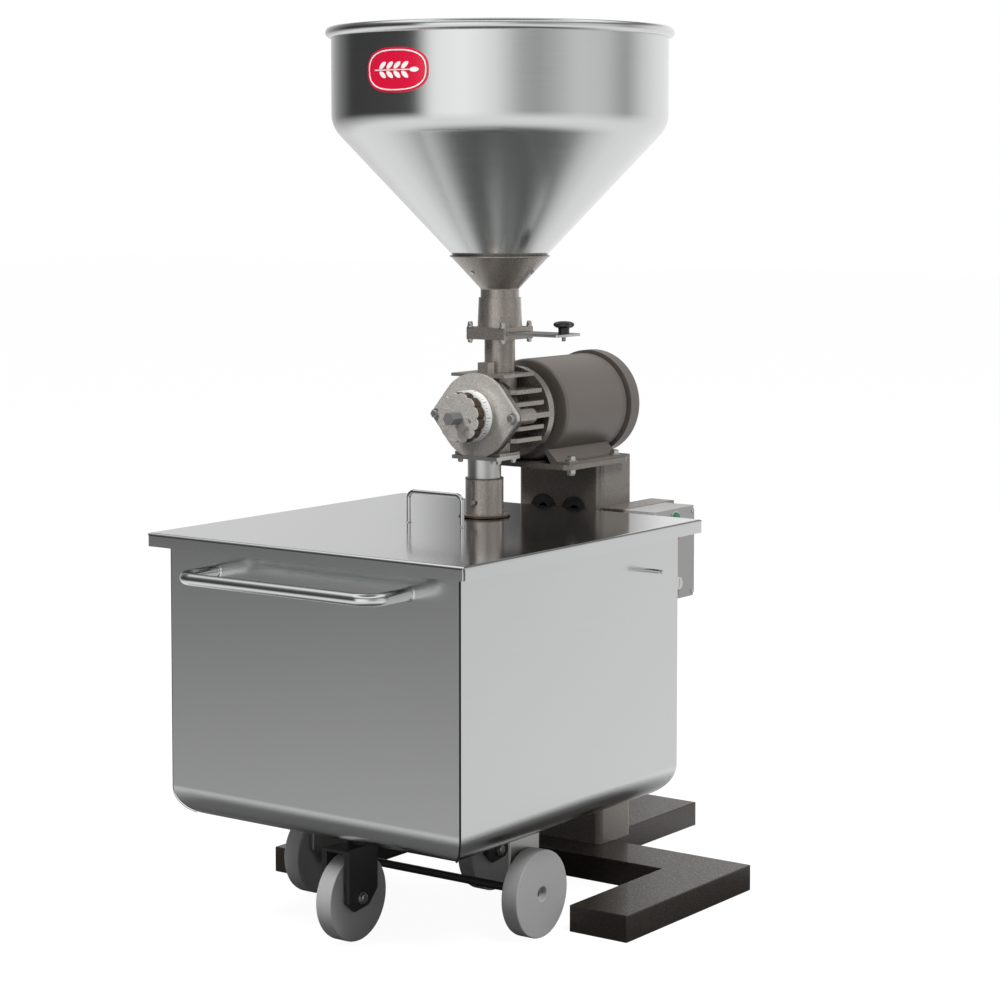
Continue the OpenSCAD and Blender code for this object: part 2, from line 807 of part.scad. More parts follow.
module switch_cover() color(switch_grey) {
  difference() {
    block([box_x1, box_y0, box_z0], [cover_x1, box_y1, box_z1]);
    block([box_x1 - cut, box_y0 + box_wall, box_z0 + box_wall],
      [cover_x1 - 3, box_y1 - box_wall, box_z1 - box_wall]);
    for (y = [box_y0, box_y1]) {
      for (z = [box_z0, box_z1]) {
        block([cover_x1 - 2, y - 6, z - 6], [cover_x1 + cut, y + 6, z + 6]);
      }
    }
    for (z = [start_z, stop_z]) {
      rod_x(button_r + gap, box_x1, cover_x1 + cut, button_y, z);
    }
    rod_x(4 + run_fit, box_x1, cover_x1 + cut, button_y, lock_z);
  }
}

module contactor() color(black_plastic) {
  block([bracket_x1 + box_wall, box_y0 + 40, 600], [bracket_x1 + 48, box_y1 - 45, 655]);
}

module press_button(z) {
  rod_x(button_r, cover_x1 - 6, cover_x1 + 6, button_y, z);
}

module start_button() color([0.1, 0.5, 0.2]) {
  press_button(start_z);
}

module stop_button() color([0.75, 0.08, 0.06]) {
  press_button(stop_z);
}

module lock_knob() color([0.92, 0.92, 0.90]) {
  difference() {
    rod_x(12, cover_x1 + gap, cover_x1 + 12, button_y, lock_z);
    block([cover_x1 + 8, button_y - 1.5, lock_z - 9], [cover_x1 + 13, button_y + 1.5, lock_z + 9]);
  }
  rod_x(4, cover_x1 - 10, cover_x1 + 1, button_y, lock_z);
}

// bin

// A tub with round bottom edges and sharp upright corners, inset by d from the outside
module tub(d) {
  x = bin_w / 2 - d;
  z0 = bin_z + d;
  r = bin_edge_r - d;
  top = bin_top + d;
  intersection() {
    translate([0, bin_y1 - d, 0]) rotate([90, 0, 0]) linear_extrude(bin_l - 2 * d)
      low_round(-x, x, z0, top, r);
    translate([-x, 0, 0]) rotate([90, 0, 90]) linear_extrude(2 * x)
      low_round(bin_y0 + d, bin_y1 - d, z0, top, r);
  }
}

module bin_body() color(stainless) {
  rim = 20;
  difference() {
    union() {
      tub(0);
      block([-bin_w / 2 - rim, bin_y0 - rim, bin_top - 2], [bin_w / 2 + rim, bin_y1 + rim, bin_top]);
    }
    tub(sheet_t);
  }
}

module lid_shell(d) {
  x = bin_w / 2 + lid_over - d;
  y0 = bin_y0 - lid_over + 1 + d;
  y1 = bin_y1 + lid_y1_over - d;
  z0 = lid_z0 - (d > 0 ? cut : 0);
  r = lid_edge_r - d;
  intersection() {
    translate([0, y1, lid_top - d]) rotate([90, 0, 0]) mirror([0, 1, 0])
      linear_extrude(y1 - y0) low_round(-x, x, 0, lid_top - d - z0, r);
    translate([-x, 0, lid_top - d]) rotate([90, 0, 90]) mirror([0, 1, 0])
      linear_extrude(2 * x) low_round(y0, y1, 0, lid_top - d - z0, r);
  }
}

module bin_lid() color(stainless) {
  x = bin_w / 2 + lid_over;
  y0 = bin_y0 - lid_over + 1;
  y1 = bin_y1 + lid_y1_over;
  difference() {
    lid_shell(0);
    lid_shell(sheet_t);
    translate([0, outlet_y, lid_z0]) cylinder(r = lid_hole_r, h = 40);
    for (cx = [-x, x]) {
      for (cy = [y0, y1]) {
        translate([cx, cy, lid_z0 - cut]) cylinder(r = 4, h = lid_top - lid_z0 - 3, $fn = 32);
      }
    }
  }
}

// A bar with two bent ends, in the plane of its first two axes: half width w, depth d, bend radius b
module bent_bar(w, d, b, r) {
  translate([-w + b, 0, 0]) rotate([0, 90, 0]) cylinder(r = r, h = 2 * (w - b), $fn = 32);
  for (s = [0, 1]) {
    mirror([s, 0, 0]) {
      translate([w - b, b, 0]) rotate([0, 0, -90]) rotate_extrude(angle = 90, $fn = 96)
        translate([b, 0]) circle(r = r, $fn = 32);
      translate([w, b, 0]) rotate([-90, 0, 0]) cylinder(r = r, h = d - b, $fn = 32);
    }
  }
}

module lid_handle() color(stainless) {
  translate([0, lid_handle_y, lid_handle_z - lid_handle_r]) rotate([-90, 0, 0])
    bent_bar(lid_handle_x, lid_handle_z - lid_handle_r - lid_top, lid_handle_bend, lid_handle_r);
}

module bin_handle() color(stainless) {
  translate([0, handle_y, handle_z]) bent_bar(handle_x, bin_y0 - handle_y, handle_bend, handle_r);
}

module side_pin() color(stainless) {
  x0 = bin_w / 2;
  translate([x0, pin_y, pin_z]) rotate([0, 90, 0]) rotate_extrude($fn = 32)
    polygon([[0, 0], [4, 0], [4, 30], [2.8, 31], [2.8, 34], [4, 35], [4, 37], [3, 38], [0, 38]]);
}

// undercarriage

module wheel_bracket_plate() {
  z0 = 60;
  translate([bracket_x, 0, 0]) rotate([90, 0, 90]) linear_extrude(bracket_t)
    polygon([[axle_y - bracket_l / 2, bin_z], [axle_y - bracket_l / 2, 95], [axle_y - 18, z0],
      [axle_y + 18, z0], [axle_y + bracket_l / 2, 95], [axle_y + bracket_l / 2, bin_z]]);
  block([bracket_x - 30, axle_y - bracket_l / 2, bin_z - 5],
    [bracket_x + bracket_t, axle_y + bracket_l / 2, bin_z]);
}

// The two plates of the fixed wheels and the two swivel plates of the casters, all on the bin's floor
module wheel_brackets() color(tool_steel) {
  difference() {
    for (s = [0, 1]) {
      mirror([s, 0, 0]) wheel_bracket_plate();
    }
    rod_x(axle_r, -axle_x, axle_x, axle_y, wheel_r);
  }
  for (y = [front_wheel_y + trail, rear_wheel_y + trail]) {
    difference() {
      block([-45, y - 52, bin_z - swivel_plate_t], [45, y + 52, bin_z]);
      translate([0, y, bin_z - swivel_plate_t - cut]) cylinder(r = kingpin_r + run_fit, h = 8);
    }
  }
}

module wheel_axle() color(black_plastic) {
  rod_x(axle_r, -axle_x, axle_x, axle_y, wheel_r);
}

module wheel(x0, y, bore) {
  translate([x0, y, wheel_r]) rotate([0, 90, 0]) difference() {
    rotate_extrude($fn = 96) polygon([[0, 0], [wheel_r - 3, 0], [wheel_r, 3], [wheel_r, wheel_w - 3],
      [wheel_r - 3, wheel_w], [0, wheel_w]]);
    translate([0, 0, -cut]) cylinder(r = bore, h = wheel_w + 2 * cut);
  }
}

module fixed_wheel() {
  difference() {
    wheel(fixed_wheel_x, axle_y, axle_r + run_fit);
    rod_x(14, fixed_wheel_x + wheel_w - 12, fixed_wheel_x + wheel_w + cut, axle_y, wheel_r);
  }
}

module right_wheel() color(polyamide) {
  fixed_wheel();
}

module left_wheel() color(polyamide) {
  mirror([1, 0, 0]) fixed_wheel();
}

module caster_wheel(y) {
  wheel(-wheel_w / 2, y, fork_axle_r + run_fit);
}

module front_wheel() color(polyamide) {
  caster_wheel(front_wheel_y);
}

module rear_wheel() color(polyamide) {
  caster_wheel(rear_wheel_y);
}

// Two pointed legs under a crown, with the kingpin, its race and the wheel's axle
module caster_fork(y) {
  crown = 6;
  lip = 12;
  for (s = [0, 1]) {
    mirror([s, 0, 0]) {
      translate([fork_x, y, 0]) rotate([90, 0, 90]) linear_extrude(fork_t)
        polygon([[-45, fork_top], [-45, 78], [-20, 58], [20, 64], [45, 90], [45, fork_top]]);
      block([fork_x, y - 45, 78], [fork_x + lip, y - 45 + fork_t, fork_top]);
    }
  }
  block([-fork_x - fork_t, y - 45, fork_top - crown], [fork_x + fork_t, y + 62, fork_top]);
  race_top = bin_z - swivel_plate_t - 0.5;
  translate([0, y + trail, fork_top - cut]) cylinder(r = race_r, h = race_top - fork_top + cut);
  translate([0, y + trail, fork_top]) cylinder(r = kingpin_r, h = bin_z - fork_top - 3);
  rod_x(fork_axle_r, -fork_x - fork_t - 3, fork_x + fork_t + 3, y, wheel_r);
}

module front_fork() color(tool_steel) {
  caster_fork(front_wheel_y);
}

module rear_fork() color(tool_steel) {
  caster_fork(rear_wheel_y);
}

base_frame();
post();
post_grommets();
motor_plate();
motor_barrel();
motor_feet();
motor_front_shield();
motor_rear_shield();
fan_cowl();
stator();
motor_bearings();
mill_adaptor();
shaft_seal();
mill_housing();
fixed_disc();
front_cover();
machine_bolts();
flange_bolts();
outlet_tube();
inlet_pipe();
gate_frame();
hopper_socket();
hopper_cup();
small_screws();
hopper();
hopper_badge();
switch_bracket();
switch_box();
switch_cover();
contactor();
rotor_shaft();
rotor_core();
cooling_fan();
feed_auger();
rotating_disc();
thrust_piece();
dial_knob();
scale_ring();
adjusting_spindle();
gate_plate();
gate_knob();
outlet_sleeve();
bin_body();
bin_lid();
lid_handle();
bin_handle();
side_pin();
wheel_brackets();
wheel_axle();
left_wheel();
right_wheel();
front_fork();
front_wheel();
rear_fork();
rear_wheel();
start_button();
stop_button();
lock_knob();
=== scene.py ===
import json
import math

import bmesh
import bpy
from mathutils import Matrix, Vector
from mathutils.geometry import convex_hull_2d

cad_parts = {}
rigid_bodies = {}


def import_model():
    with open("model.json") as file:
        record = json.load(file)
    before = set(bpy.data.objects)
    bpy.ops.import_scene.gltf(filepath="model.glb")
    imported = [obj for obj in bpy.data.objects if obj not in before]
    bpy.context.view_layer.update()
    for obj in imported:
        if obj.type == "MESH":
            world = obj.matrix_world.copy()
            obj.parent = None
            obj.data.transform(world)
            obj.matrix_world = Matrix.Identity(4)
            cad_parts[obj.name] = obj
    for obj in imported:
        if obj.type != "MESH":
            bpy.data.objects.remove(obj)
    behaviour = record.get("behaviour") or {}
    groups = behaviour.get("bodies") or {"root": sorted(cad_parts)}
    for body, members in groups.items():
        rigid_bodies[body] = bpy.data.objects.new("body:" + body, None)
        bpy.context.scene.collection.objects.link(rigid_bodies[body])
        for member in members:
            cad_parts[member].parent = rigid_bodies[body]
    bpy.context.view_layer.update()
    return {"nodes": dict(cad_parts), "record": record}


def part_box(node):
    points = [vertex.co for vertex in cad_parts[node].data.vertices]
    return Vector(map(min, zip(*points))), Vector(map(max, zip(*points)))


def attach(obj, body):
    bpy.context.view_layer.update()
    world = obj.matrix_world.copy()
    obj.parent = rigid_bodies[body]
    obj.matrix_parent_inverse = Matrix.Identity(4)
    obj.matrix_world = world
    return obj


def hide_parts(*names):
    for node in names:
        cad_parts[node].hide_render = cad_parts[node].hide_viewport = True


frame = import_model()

# ---------------------------------------------------------------- camera, light and floor

CAMERA_PLACE = (2.9396, -4.2428, 1.3733)
CAMERA_TURN = math.radians(36.148)
CAMERA_DIP = math.radians(3.995)
CAMERA_LENS = 94.1
CAMERA_SHIFT = (0.0093, -0.14)


def make_camera():
    data = bpy.data.cameras.new("camera")
    data.lens = CAMERA_LENS
    data.shift_x, data.shift_y = CAMERA_SHIFT
    data.clip_end = 60
    camera = bpy.data.objects.new("camera", data)
    camera.location = CAMERA_PLACE
    camera.rotation_euler = (math.pi / 2 - CAMERA_DIP, 0, CAMERA_TURN)
    bpy.context.scene.collection.objects.link(camera)
    bpy.context.scene.camera = camera


def make_light(name, place, target, size, power):
    """A square soft lamp that shiny metal doesn't see."""
    data = bpy.data.lights.new(name, "AREA")
    data.shape = "RECTANGLE"
    data.size = size
    data.size_y = size
    data.energy = power
    light = bpy.data.objects.new(name, data)
    light.location = place
    light.visible_glossy = False
    light.rotation_euler = (Vector(target) - Vector(place)).to_track_quat("-Z", "Y").to_euler()
    bpy.context.scene.collection.objects.link(light)


def opaque(tone):
    """A full colour from a grey level or from red, green and blue."""
    return (*tone, 1) if isinstance(tone, tuple) else (tone, tone, tone, 1)


def math_node(tree, operation, *values):
    """A Math node whose inputs are sockets or numbers."""
    made = tree.nodes.new("ShaderNodeMath")
    made.operation = operation
    for i, value in enumerate(values):
        if isinstance(value, (int, float)):
            made.inputs[i].default_value = value
        else:
            tree.links.new(value, made.inputs[i])
    return made.outputs[0]


def mix_color(tree, factor, a, b):
    """A colour mix. Each end is a socket or a colour."""
    made = tree.nodes.new("ShaderNodeMix")
    made.data_type = "RGBA"
    tree.links.new(factor, made.inputs["Factor"])
    for label, end in (("A", a), ("B", b)):
        if isinstance(end, tuple):
            made.inputs[label].default_value = end
        else:
            tree.links.new(end, made.inputs[label])
    return made.outputs["Result"]


def remap(tree, value, low, high, to_low=0.0, to_high=1.0):
    """Spreads the span from low to high over the span from to_low to to_high."""
    made = tree.nodes.new("ShaderNodeMapRange")
    tree.links.new(value, made.inputs["Value"])
    for label, number in (("From Min", low), ("From Max", high), ("To Min", to_low), ("To Max", to_high)):
        made.inputs[label].default_value = number
    return made.outputs[0]


# the studio's soft panels and the dark gaps between them: degrees round from the front, and brightness
PANELS = [(-180, 1.05), (-156, 1.0), (-147.5, 0.95), (-146.6, 0.10), (-143.9, 0.03), (-142.2, 0.7),
          (-134, 0.78), (-125, 0.62), (-105, 0.28), (-85, 0.06), (-23, 0.07), (-11, 1.2), (12, 1.3),
          (33, 1.05), (50, 0.52), (62, 0.45), (90, 0.82), (110, 0.76), (130, 0.44), (147, 0.85),
          (165, 1.05), (180, 1.05)]
# how much of the room's light reaches matt surfaces
AMBIENT = 0.5
# how far the painted shade round the tub spreads in the floor that shiny metal sees, in metres: full, and
# gone
FLOOR_SHADE = (0.16, 0.50)
# the light from below: the sine of the angle under the level, and brightness
LOW_LIGHT = [(-1.0, 0.09), (-0.94, 0.15), (-0.88, 0.38), (-0.8, 0.8), (-0.68, 1.02), (0.0, 1.08)]
# the sines of the angles over which the light from below turns into the panels, and these into the ceiling
WALL_RISE = (-0.46, -0.08)
CEILING_RISE = (0.3, 0.55)
CEILING = 0.18
# a ring of lamps on the ceiling: the sines over which it begins, and over which it ends again
RING_START = (0.62, 0.8)
RING_END = (0.95, 0.88)
RING_LAMP = 1.3
# the floor: its own grey, which shiny metal sees round the tub as painted shade, and the glow that makes it
# white where the camera looks
FLOOR_GREY = 0.12
FLOOR_GLOW = 0.95


def grey_ramp(tree, stops, low, high):
    """A ramp of greys whose stops are given over the span from low to high."""
    ramp = tree.nodes.new("ShaderNodeValToRGB")
    elements = ramp.color_ramp.elements
    while len(elements) < len(stops):
        elements.new(0.5)
    for element, (place, level) in zip(elements, stops):
        element.position = (place - low) / (high - low)
        element.color = opaque(level)
    return ramp


def make_world():
    """A soft studio: white where the camera looks, and panels round the room for what the metal reflects."""
    world = bpy.data.worlds.new("studio")
    bpy.context.scene.world = world
    world.use_nodes = True
    tree = world.node_tree
    nodes, links = tree.nodes, tree.links
    nodes.clear()
    coord = nodes.new("ShaderNodeTexCoord")
    split = nodes.new("ShaderNodeSeparateXYZ")
    links.new(coord.outputs["Generated"], split.inputs[0])
    height = split.outputs["Z"]
    front = math_node(tree, "MULTIPLY", split.outputs["Y"], -1.0)
    turn = math_node(tree, "ARCTAN2", split.outputs["X"], front)
    around = grey_ramp(tree, PANELS, -180, 180)
    links.new(math_node(tree, "MULTIPLY_ADD", turn, 1 / (2 * math.pi), 0.5), around.inputs[0])
    under = grey_ramp(tree, LOW_LIGHT, -1, 1)
    links.new(math_node(tree, "MULTIPLY_ADD", height, 0.5, 0.5), under.inputs[0])
    walls = mix_color(tree, remap(tree, height, *WALL_RISE), under.outputs[0], around.outputs[0])
    roofed = mix_color(tree, remap(tree, height, *CEILING_RISE), walls, opaque(CEILING))
    ring = math_node(tree, "MULTIPLY", remap(tree, height, *RING_START), remap(tree, height, *RING_END))
    whole = mix_color(tree, ring, roofed, opaque(RING_LAMP))
    room = nodes.new("ShaderNodeBackground")
    seen = nodes.new("ShaderNodeBackground")
    seen.inputs["Color"].default_value = opaque(1)
    path = nodes.new("ShaderNodeLightPath")
    mix = nodes.new("ShaderNodeMixShader")
    out = nodes.new("ShaderNodeOutputWorld")
    links.new(whole, room.inputs["Color"])
    links.new(math_node(tree, "MULTIPLY_ADD", path.outputs["Is Diffuse Ray"], AMBIENT - 1, 1.0),
              room.inputs["Strength"])
    links.new(path.outputs["Is Camera Ray"], mix.inputs[0])
    links.new(room.outputs[0], mix.inputs[1])
    links.new(seen.outputs[0], mix.inputs[2])
    links.new(mix.outputs[0], out.inputs[0])


def make_floor():
    """A pale floor that runs into the white room. Shiny metal sees its dark grey only in a zone round the
    tub, as painted shade.
    """
    mesh = bpy.data.meshes.new("floor")
    half = 30
    mesh.from_pydata([(-half, -half, 0), (half, -half, 0), (half, half, 0), (-half, half, 0)], [],
                     [(0, 1, 2, 3)])
    floor = bpy.data.objects.new("floor", mesh)
    bpy.context.scene.collection.objects.link(floor)
    material = bpy.data.materials.new("floor_white")
    material.use_nodes = True
    tree = material.node_tree
    tree.nodes.clear()
    plain = tree.nodes.new("ShaderNodeBsdfDiffuse")
    plain.inputs["Color"].default_value = opaque(FLOOR_GREY)
    glow = tree.nodes.new("ShaderNodeEmission")
    glow.inputs["Strength"].default_value = FLOOR_GLOW
    lit = tree.nodes.new("ShaderNodeAddShader")
    path = tree.nodes.new("ShaderNodeLightPath")
    mix = tree.nodes.new("ShaderNodeMixShader")
    out = tree.nodes.new("ShaderNodeOutputMaterial")
    tree.links.new(plain.outputs[0], lit.inputs[0])
    tree.links.new(glow.outputs[0], lit.inputs[1])
    tree.links.new(path.outputs["Is Camera Ray"], mix.inputs[0])
    tree.links.new(plain.outputs[0], mix.inputs[1])
    tree.links.new(lit.outputs[0], mix.inputs[2])
    coord = tree.nodes.new("ShaderNodeTexCoord")
    split = tree.nodes.new("ShaderNodeSeparateXYZ")
    tree.links.new(coord.outputs["Object"], split.inputs[0])
    tub_low, tub_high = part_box("bin_body")
    reach = []
    for axis, low, high in (("X", tub_low.x, tub_high.x), ("Y", tub_low.y, tub_high.y)):
        offset = math_node(tree, "SUBTRACT", split.outputs[axis], (low + high) / 2)
        across = math_node(tree, "ABSOLUTE", offset)
        reach.append(math_node(tree, "SUBTRACT", across, (high - low) / 2))
    # painted shade: within this reach of the tub shiny metal sees the dark floor, further out it sees through
    # it
    painted_shade_fade = remap(tree, math_node(tree, "MAXIMUM", *reach), *FLOOR_SHADE)
    clear = tree.nodes.new("ShaderNodeBsdfTransparent")
    hide = tree.nodes.new("ShaderNodeMixShader")
    tree.links.new(math_node(tree, "MULTIPLY", path.outputs["Is Glossy Ray"], painted_shade_fade), hide.inputs[0])
    tree.links.new(mix.outputs[0], hide.inputs[1])
    tree.links.new(clear.outputs[0], hide.inputs[2])
    tree.links.new(hide.outputs[0], out.inputs["Surface"])
    mesh.materials.append(material)


make_camera()
make_world()
make_floor()
make_light("key", (-1.4, -3.0, 4.4), (0, -0.2, 0.8), 1.6, 190)
make_light("side", (3.0, -1.2, 4.0), (0, -0.2, 0.9), 1.6, 150)
make_light("back", (-0.6, 3.2, 4.2), (0, -0.2, 0.9), 1.8, 80)
bpy.context.scene.view_settings.view_transform = "Standard"

# ---------------------------------------------------------------- shader groups


def new_group(name, inputs, outputs):
    """An empty shader group. inputs are (name, kind, default), outputs are (name, kind)."""
    group = bpy.data.node_groups.new(name, "ShaderNodeTree")
    kinds = {"value": "NodeSocketFloat", "color": "NodeSocketColor", "vector": "NodeSocketVector"}
    for label, kind, default in inputs:
        made = group.interface.new_socket(label, in_out="INPUT", socket_type=kinds[kind])
        if default is not None:
            made.default_value = default
    for label, kind in outputs:
        group.interface.new_socket(label, in_out="OUTPUT", socket_type=kinds[kind])
    return group, group.nodes.new("NodeGroupInput"), group.nodes.new("NodeGroupOutput")


def scaled_coordinates(tree, stretch):
    """The piece's own coordinates, stretched."""
    coord = tree.nodes.new("ShaderNodeTexCoord")
    mapping = tree.nodes.new("ShaderNodeMapping")
    mapping.inputs["Scale"].default_value = stretch
    tree.links.new(coord.outputs["Object"], mapping.inputs[0])
    return mapping.outputs[0]


def noise(tree, vector, scale, detail=2.0, roughness=0.5):
    """A noise value whose scale is a number or a socket."""
    made = tree.nodes.new("ShaderNodeTexNoise")
    tree.links.new(vector, made.inputs["Vector"])
    if isinstance(scale, (int, float)):
        made.inputs["Scale"].default_value = scale
    else:
        tree.links.new(scale, made.inputs["Scale"])
    made.inputs["Detail"].default_value = detail
    made.inputs["Roughness"].default_value = roughness
    return made.outputs["Fac"]


def build_hammer_group():
    """Hammertone paint: small pooled cells with raised rims, in two tones."""
    group, inside, outside = new_group(
        "hammer_texture",
        [("Vector", "vector", None), ("Cell Scale", "value", 190.0), ("Dark", "color", (0.1, 0.1, 0.1, 1)),
         ("Light", "color", (0.4, 0.4, 0.4, 1)), ("Base Roughness", "value", 0.42)],
        [("Color", "color"), ("Roughness", "value"), ("Height", "value")])
    cells = group.nodes.new("ShaderNodeTexVoronoi")
    cells.feature = "SMOOTH_F1"
    cells.inputs["Smoothness"].default_value = 0.6
    warp = noise(group, inside.outputs["Vector"], 90.0, 2.0)
    lift = group.nodes.new("ShaderNodeVectorMath")
    lift.operation = "ADD"
    push = group.nodes.new("ShaderNodeVectorMath")
    push.operation = "SCALE"
    push.inputs["Scale"].default_value = 0.006
    group.links.new(warp, push.inputs[0])
    group.links.new(inside.outputs["Vector"], lift.inputs[0])
    group.links.new(push.outputs[0], lift.inputs[1])
    group.links.new(lift.outputs[0], cells.inputs["Vector"])
    group.links.new(inside.outputs["Cell Scale"], cells.inputs["Scale"])
    cell = remap(group, cells.outputs["Distance"], 0.05, 0.75)
    broad = noise(group, inside.outputs["Vector"], 14.0, 3.0)
    speck = remap(group, noise(group, inside.outputs["Vector"], 520.0, 1.0), 0.3, 0.7)
    tone = math_node(group, "ADD", math_node(group, "MULTIPLY", cell, 0.55),
                     math_node(group, "ADD", math_node(group, "MULTIPLY", speck, 0.30),
                               math_node(group, "MULTIPLY", broad, 0.18)))
    group.links.new(mix_color(group, tone, inside.outputs["Dark"], inside.outputs["Light"]),
                    outside.inputs["Color"])
    group.links.new(math_node(group, "ADD", inside.outputs["Base Roughness"],
                              math_node(group, "MULTIPLY", cell, -0.16)), outside.inputs["Roughness"])
    group.links.new(math_node(group, "ADD", cell, math_node(group, "MULTIPLY", speck, 0.35)),
                    outside.inputs["Height"])
    return group


def build_brush_group():
    """Brushed metal: fine scratches along one direction, with slow cloudy change under them."""
    group, inside, outside = new_group(
        "brush_texture",
        [("Vector", "vector", None), ("Dark", "color", (0.4, 0.4, 0.4, 1)),
         ("Light", "color", (0.6, 0.6, 0.6, 1)), ("Base Roughness", "value", 0.3)],
        [("Color", "color"), ("Roughness", "value"), ("Height", "value")])
    fine = noise(group, inside.outputs["Vector"], 1.0, 4.0, 0.65)
    coord = group.nodes.new("ShaderNodeTexCoord")
    cloud = noise(group, coord.outputs["Object"], 3.0, 4.0)
    tone = math_node(group, "ADD", math_node(group, "MULTIPLY", fine, 0.7),
                     math_node(group, "MULTIPLY", cloud, 0.3))
    group.links.new(mix_color(group, tone, inside.outputs["Dark"], inside.outputs["Light"]),
                    outside.inputs["Color"])
    spread = math_node(group, "MULTIPLY", math_node(group, "SUBTRACT", tone, 0.5), 0.22)
    group.links.new(math_node(group, "ADD", inside.outputs["Base Roughness"], spread),
                    outside.inputs["Roughness"])
    group.links.new(fine, outside.inputs["Height"])
    return group


def build_grain_group():
    """Moulded or satin surfaces: a fine orange-peel grain with faint dust and rub marks."""
    group, inside, outside = new_group(
        "fine_grain",
        [("Vector", "vector", None), ("Grain Scale", "value", 500.0), ("Dark", "color", (0.1, 0.1, 0.1, 1)),
         ("Light", "color", (0.2, 0.2, 0.2, 1)), ("Base Roughness", "value", 0.4)],
        [("Color", "color"), ("Roughness", "value"), ("Height", "value")])
    grain = noise(group, inside.outputs["Vector"], inside.outputs["Grain Scale"], 2.0)
    smear = noise(group, inside.outputs["Vector"], 9.0, 5.0, 0.6)
    tone = math_node(group, "ADD", math_node(group, "MULTIPLY", grain, 0.35),
                     math_node(group, "MULTIPLY", smear, 0.65))
    group.links.new(mix_color(group, tone, inside.outputs["Dark"], inside.outputs["Light"]),
                    outside.inputs["Color"])
    spread = math_node(group, "MULTIPLY", math_node(group, "SUBTRACT", smear, 0.5), 0.3)
    group.links.new(math_node(group, "ADD", inside.outputs["Base Roughness"], spread),
                    outside.inputs["Roughness"])
    group.links.new(grain, outside.inputs["Height"])
    return group


HAMMER = build_hammer_group()
BRUSH = build_brush_group()
GRAIN = build_grain_group()

# ---------------------------------------------------------------- materials


def finish_material(name, group, dark, light, rough, scales, stretch, metallic, bump, bump_depth, coat=0.0):
    """A material whose colour, roughness and height come from one of the groups."""
    material = bpy.data.materials.new(name)
    material.use_nodes = True
    tree = material.node_tree
    shader = tree.nodes["Principled BSDF"]
    placed = tree.nodes.new("ShaderNodeGroup")
    placed.node_tree = group
    tree.links.new(scaled_coordinates(tree, stretch), placed.inputs["Vector"])
    values = {"Dark": opaque(dark), "Light": opaque(light), "Base Roughness": rough, **scales}
    for label, value in values.items():
        placed.inputs[label].default_value = value
    tree.links.new(placed.outputs["Color"], shader.inputs["Base Color"])
    tree.links.new(placed.outputs["Roughness"], shader.inputs["Roughness"])
    shader.inputs["Metallic"].default_value = metallic
    shader.inputs["Coat Weight"].default_value = coat
    bumps = tree.nodes.new("ShaderNodeBump")
    bumps.inputs["Strength"].default_value = bump
    bumps.inputs["Distance"].default_value = bump_depth
    tree.links.new(placed.outputs["Height"], bumps.inputs["Height"])
    tree.links.new(bumps.outputs[0], shader.inputs["Normal"])
    return material


def hammertone(name, dark, light, rough, scale, metallic):
    """Pooled hammertone paint. scale sets how fine its cells are."""
    return finish_material(name, HAMMER, dark, light, rough, {"Cell Scale": scale}, (1, 1, 1), metallic, 0.5,
                           0.0004, 0.15)


def brushed(name, stretch, dark=(0.57, 0.58, 0.575), light=(0.66, 0.67, 0.665), rough=0.19):
    """Bare stainless steel with its scratches along the stretched direction."""
    return finish_material(name, BRUSH, dark, light, rough, {}, stretch, 1.0, 0.06, 0.0002)


def satin(name, dark, light, rough, metallic=0.0, scale=500.0, bump=0.15, coat=0.0):
    """Plain paint, plating, rubber or plastic with a fine grain."""
    return finish_material(name, GRAIN, dark, light, rough, {"Grain Scale": scale}, (1, 1, 1), metallic, bump,
                           0.0003, coat)


# how the brushed grain is stretched: level all round, and along X
ALONG_LEVEL = (4, 4, 900)
ALONG_X = (4, 900, 900)

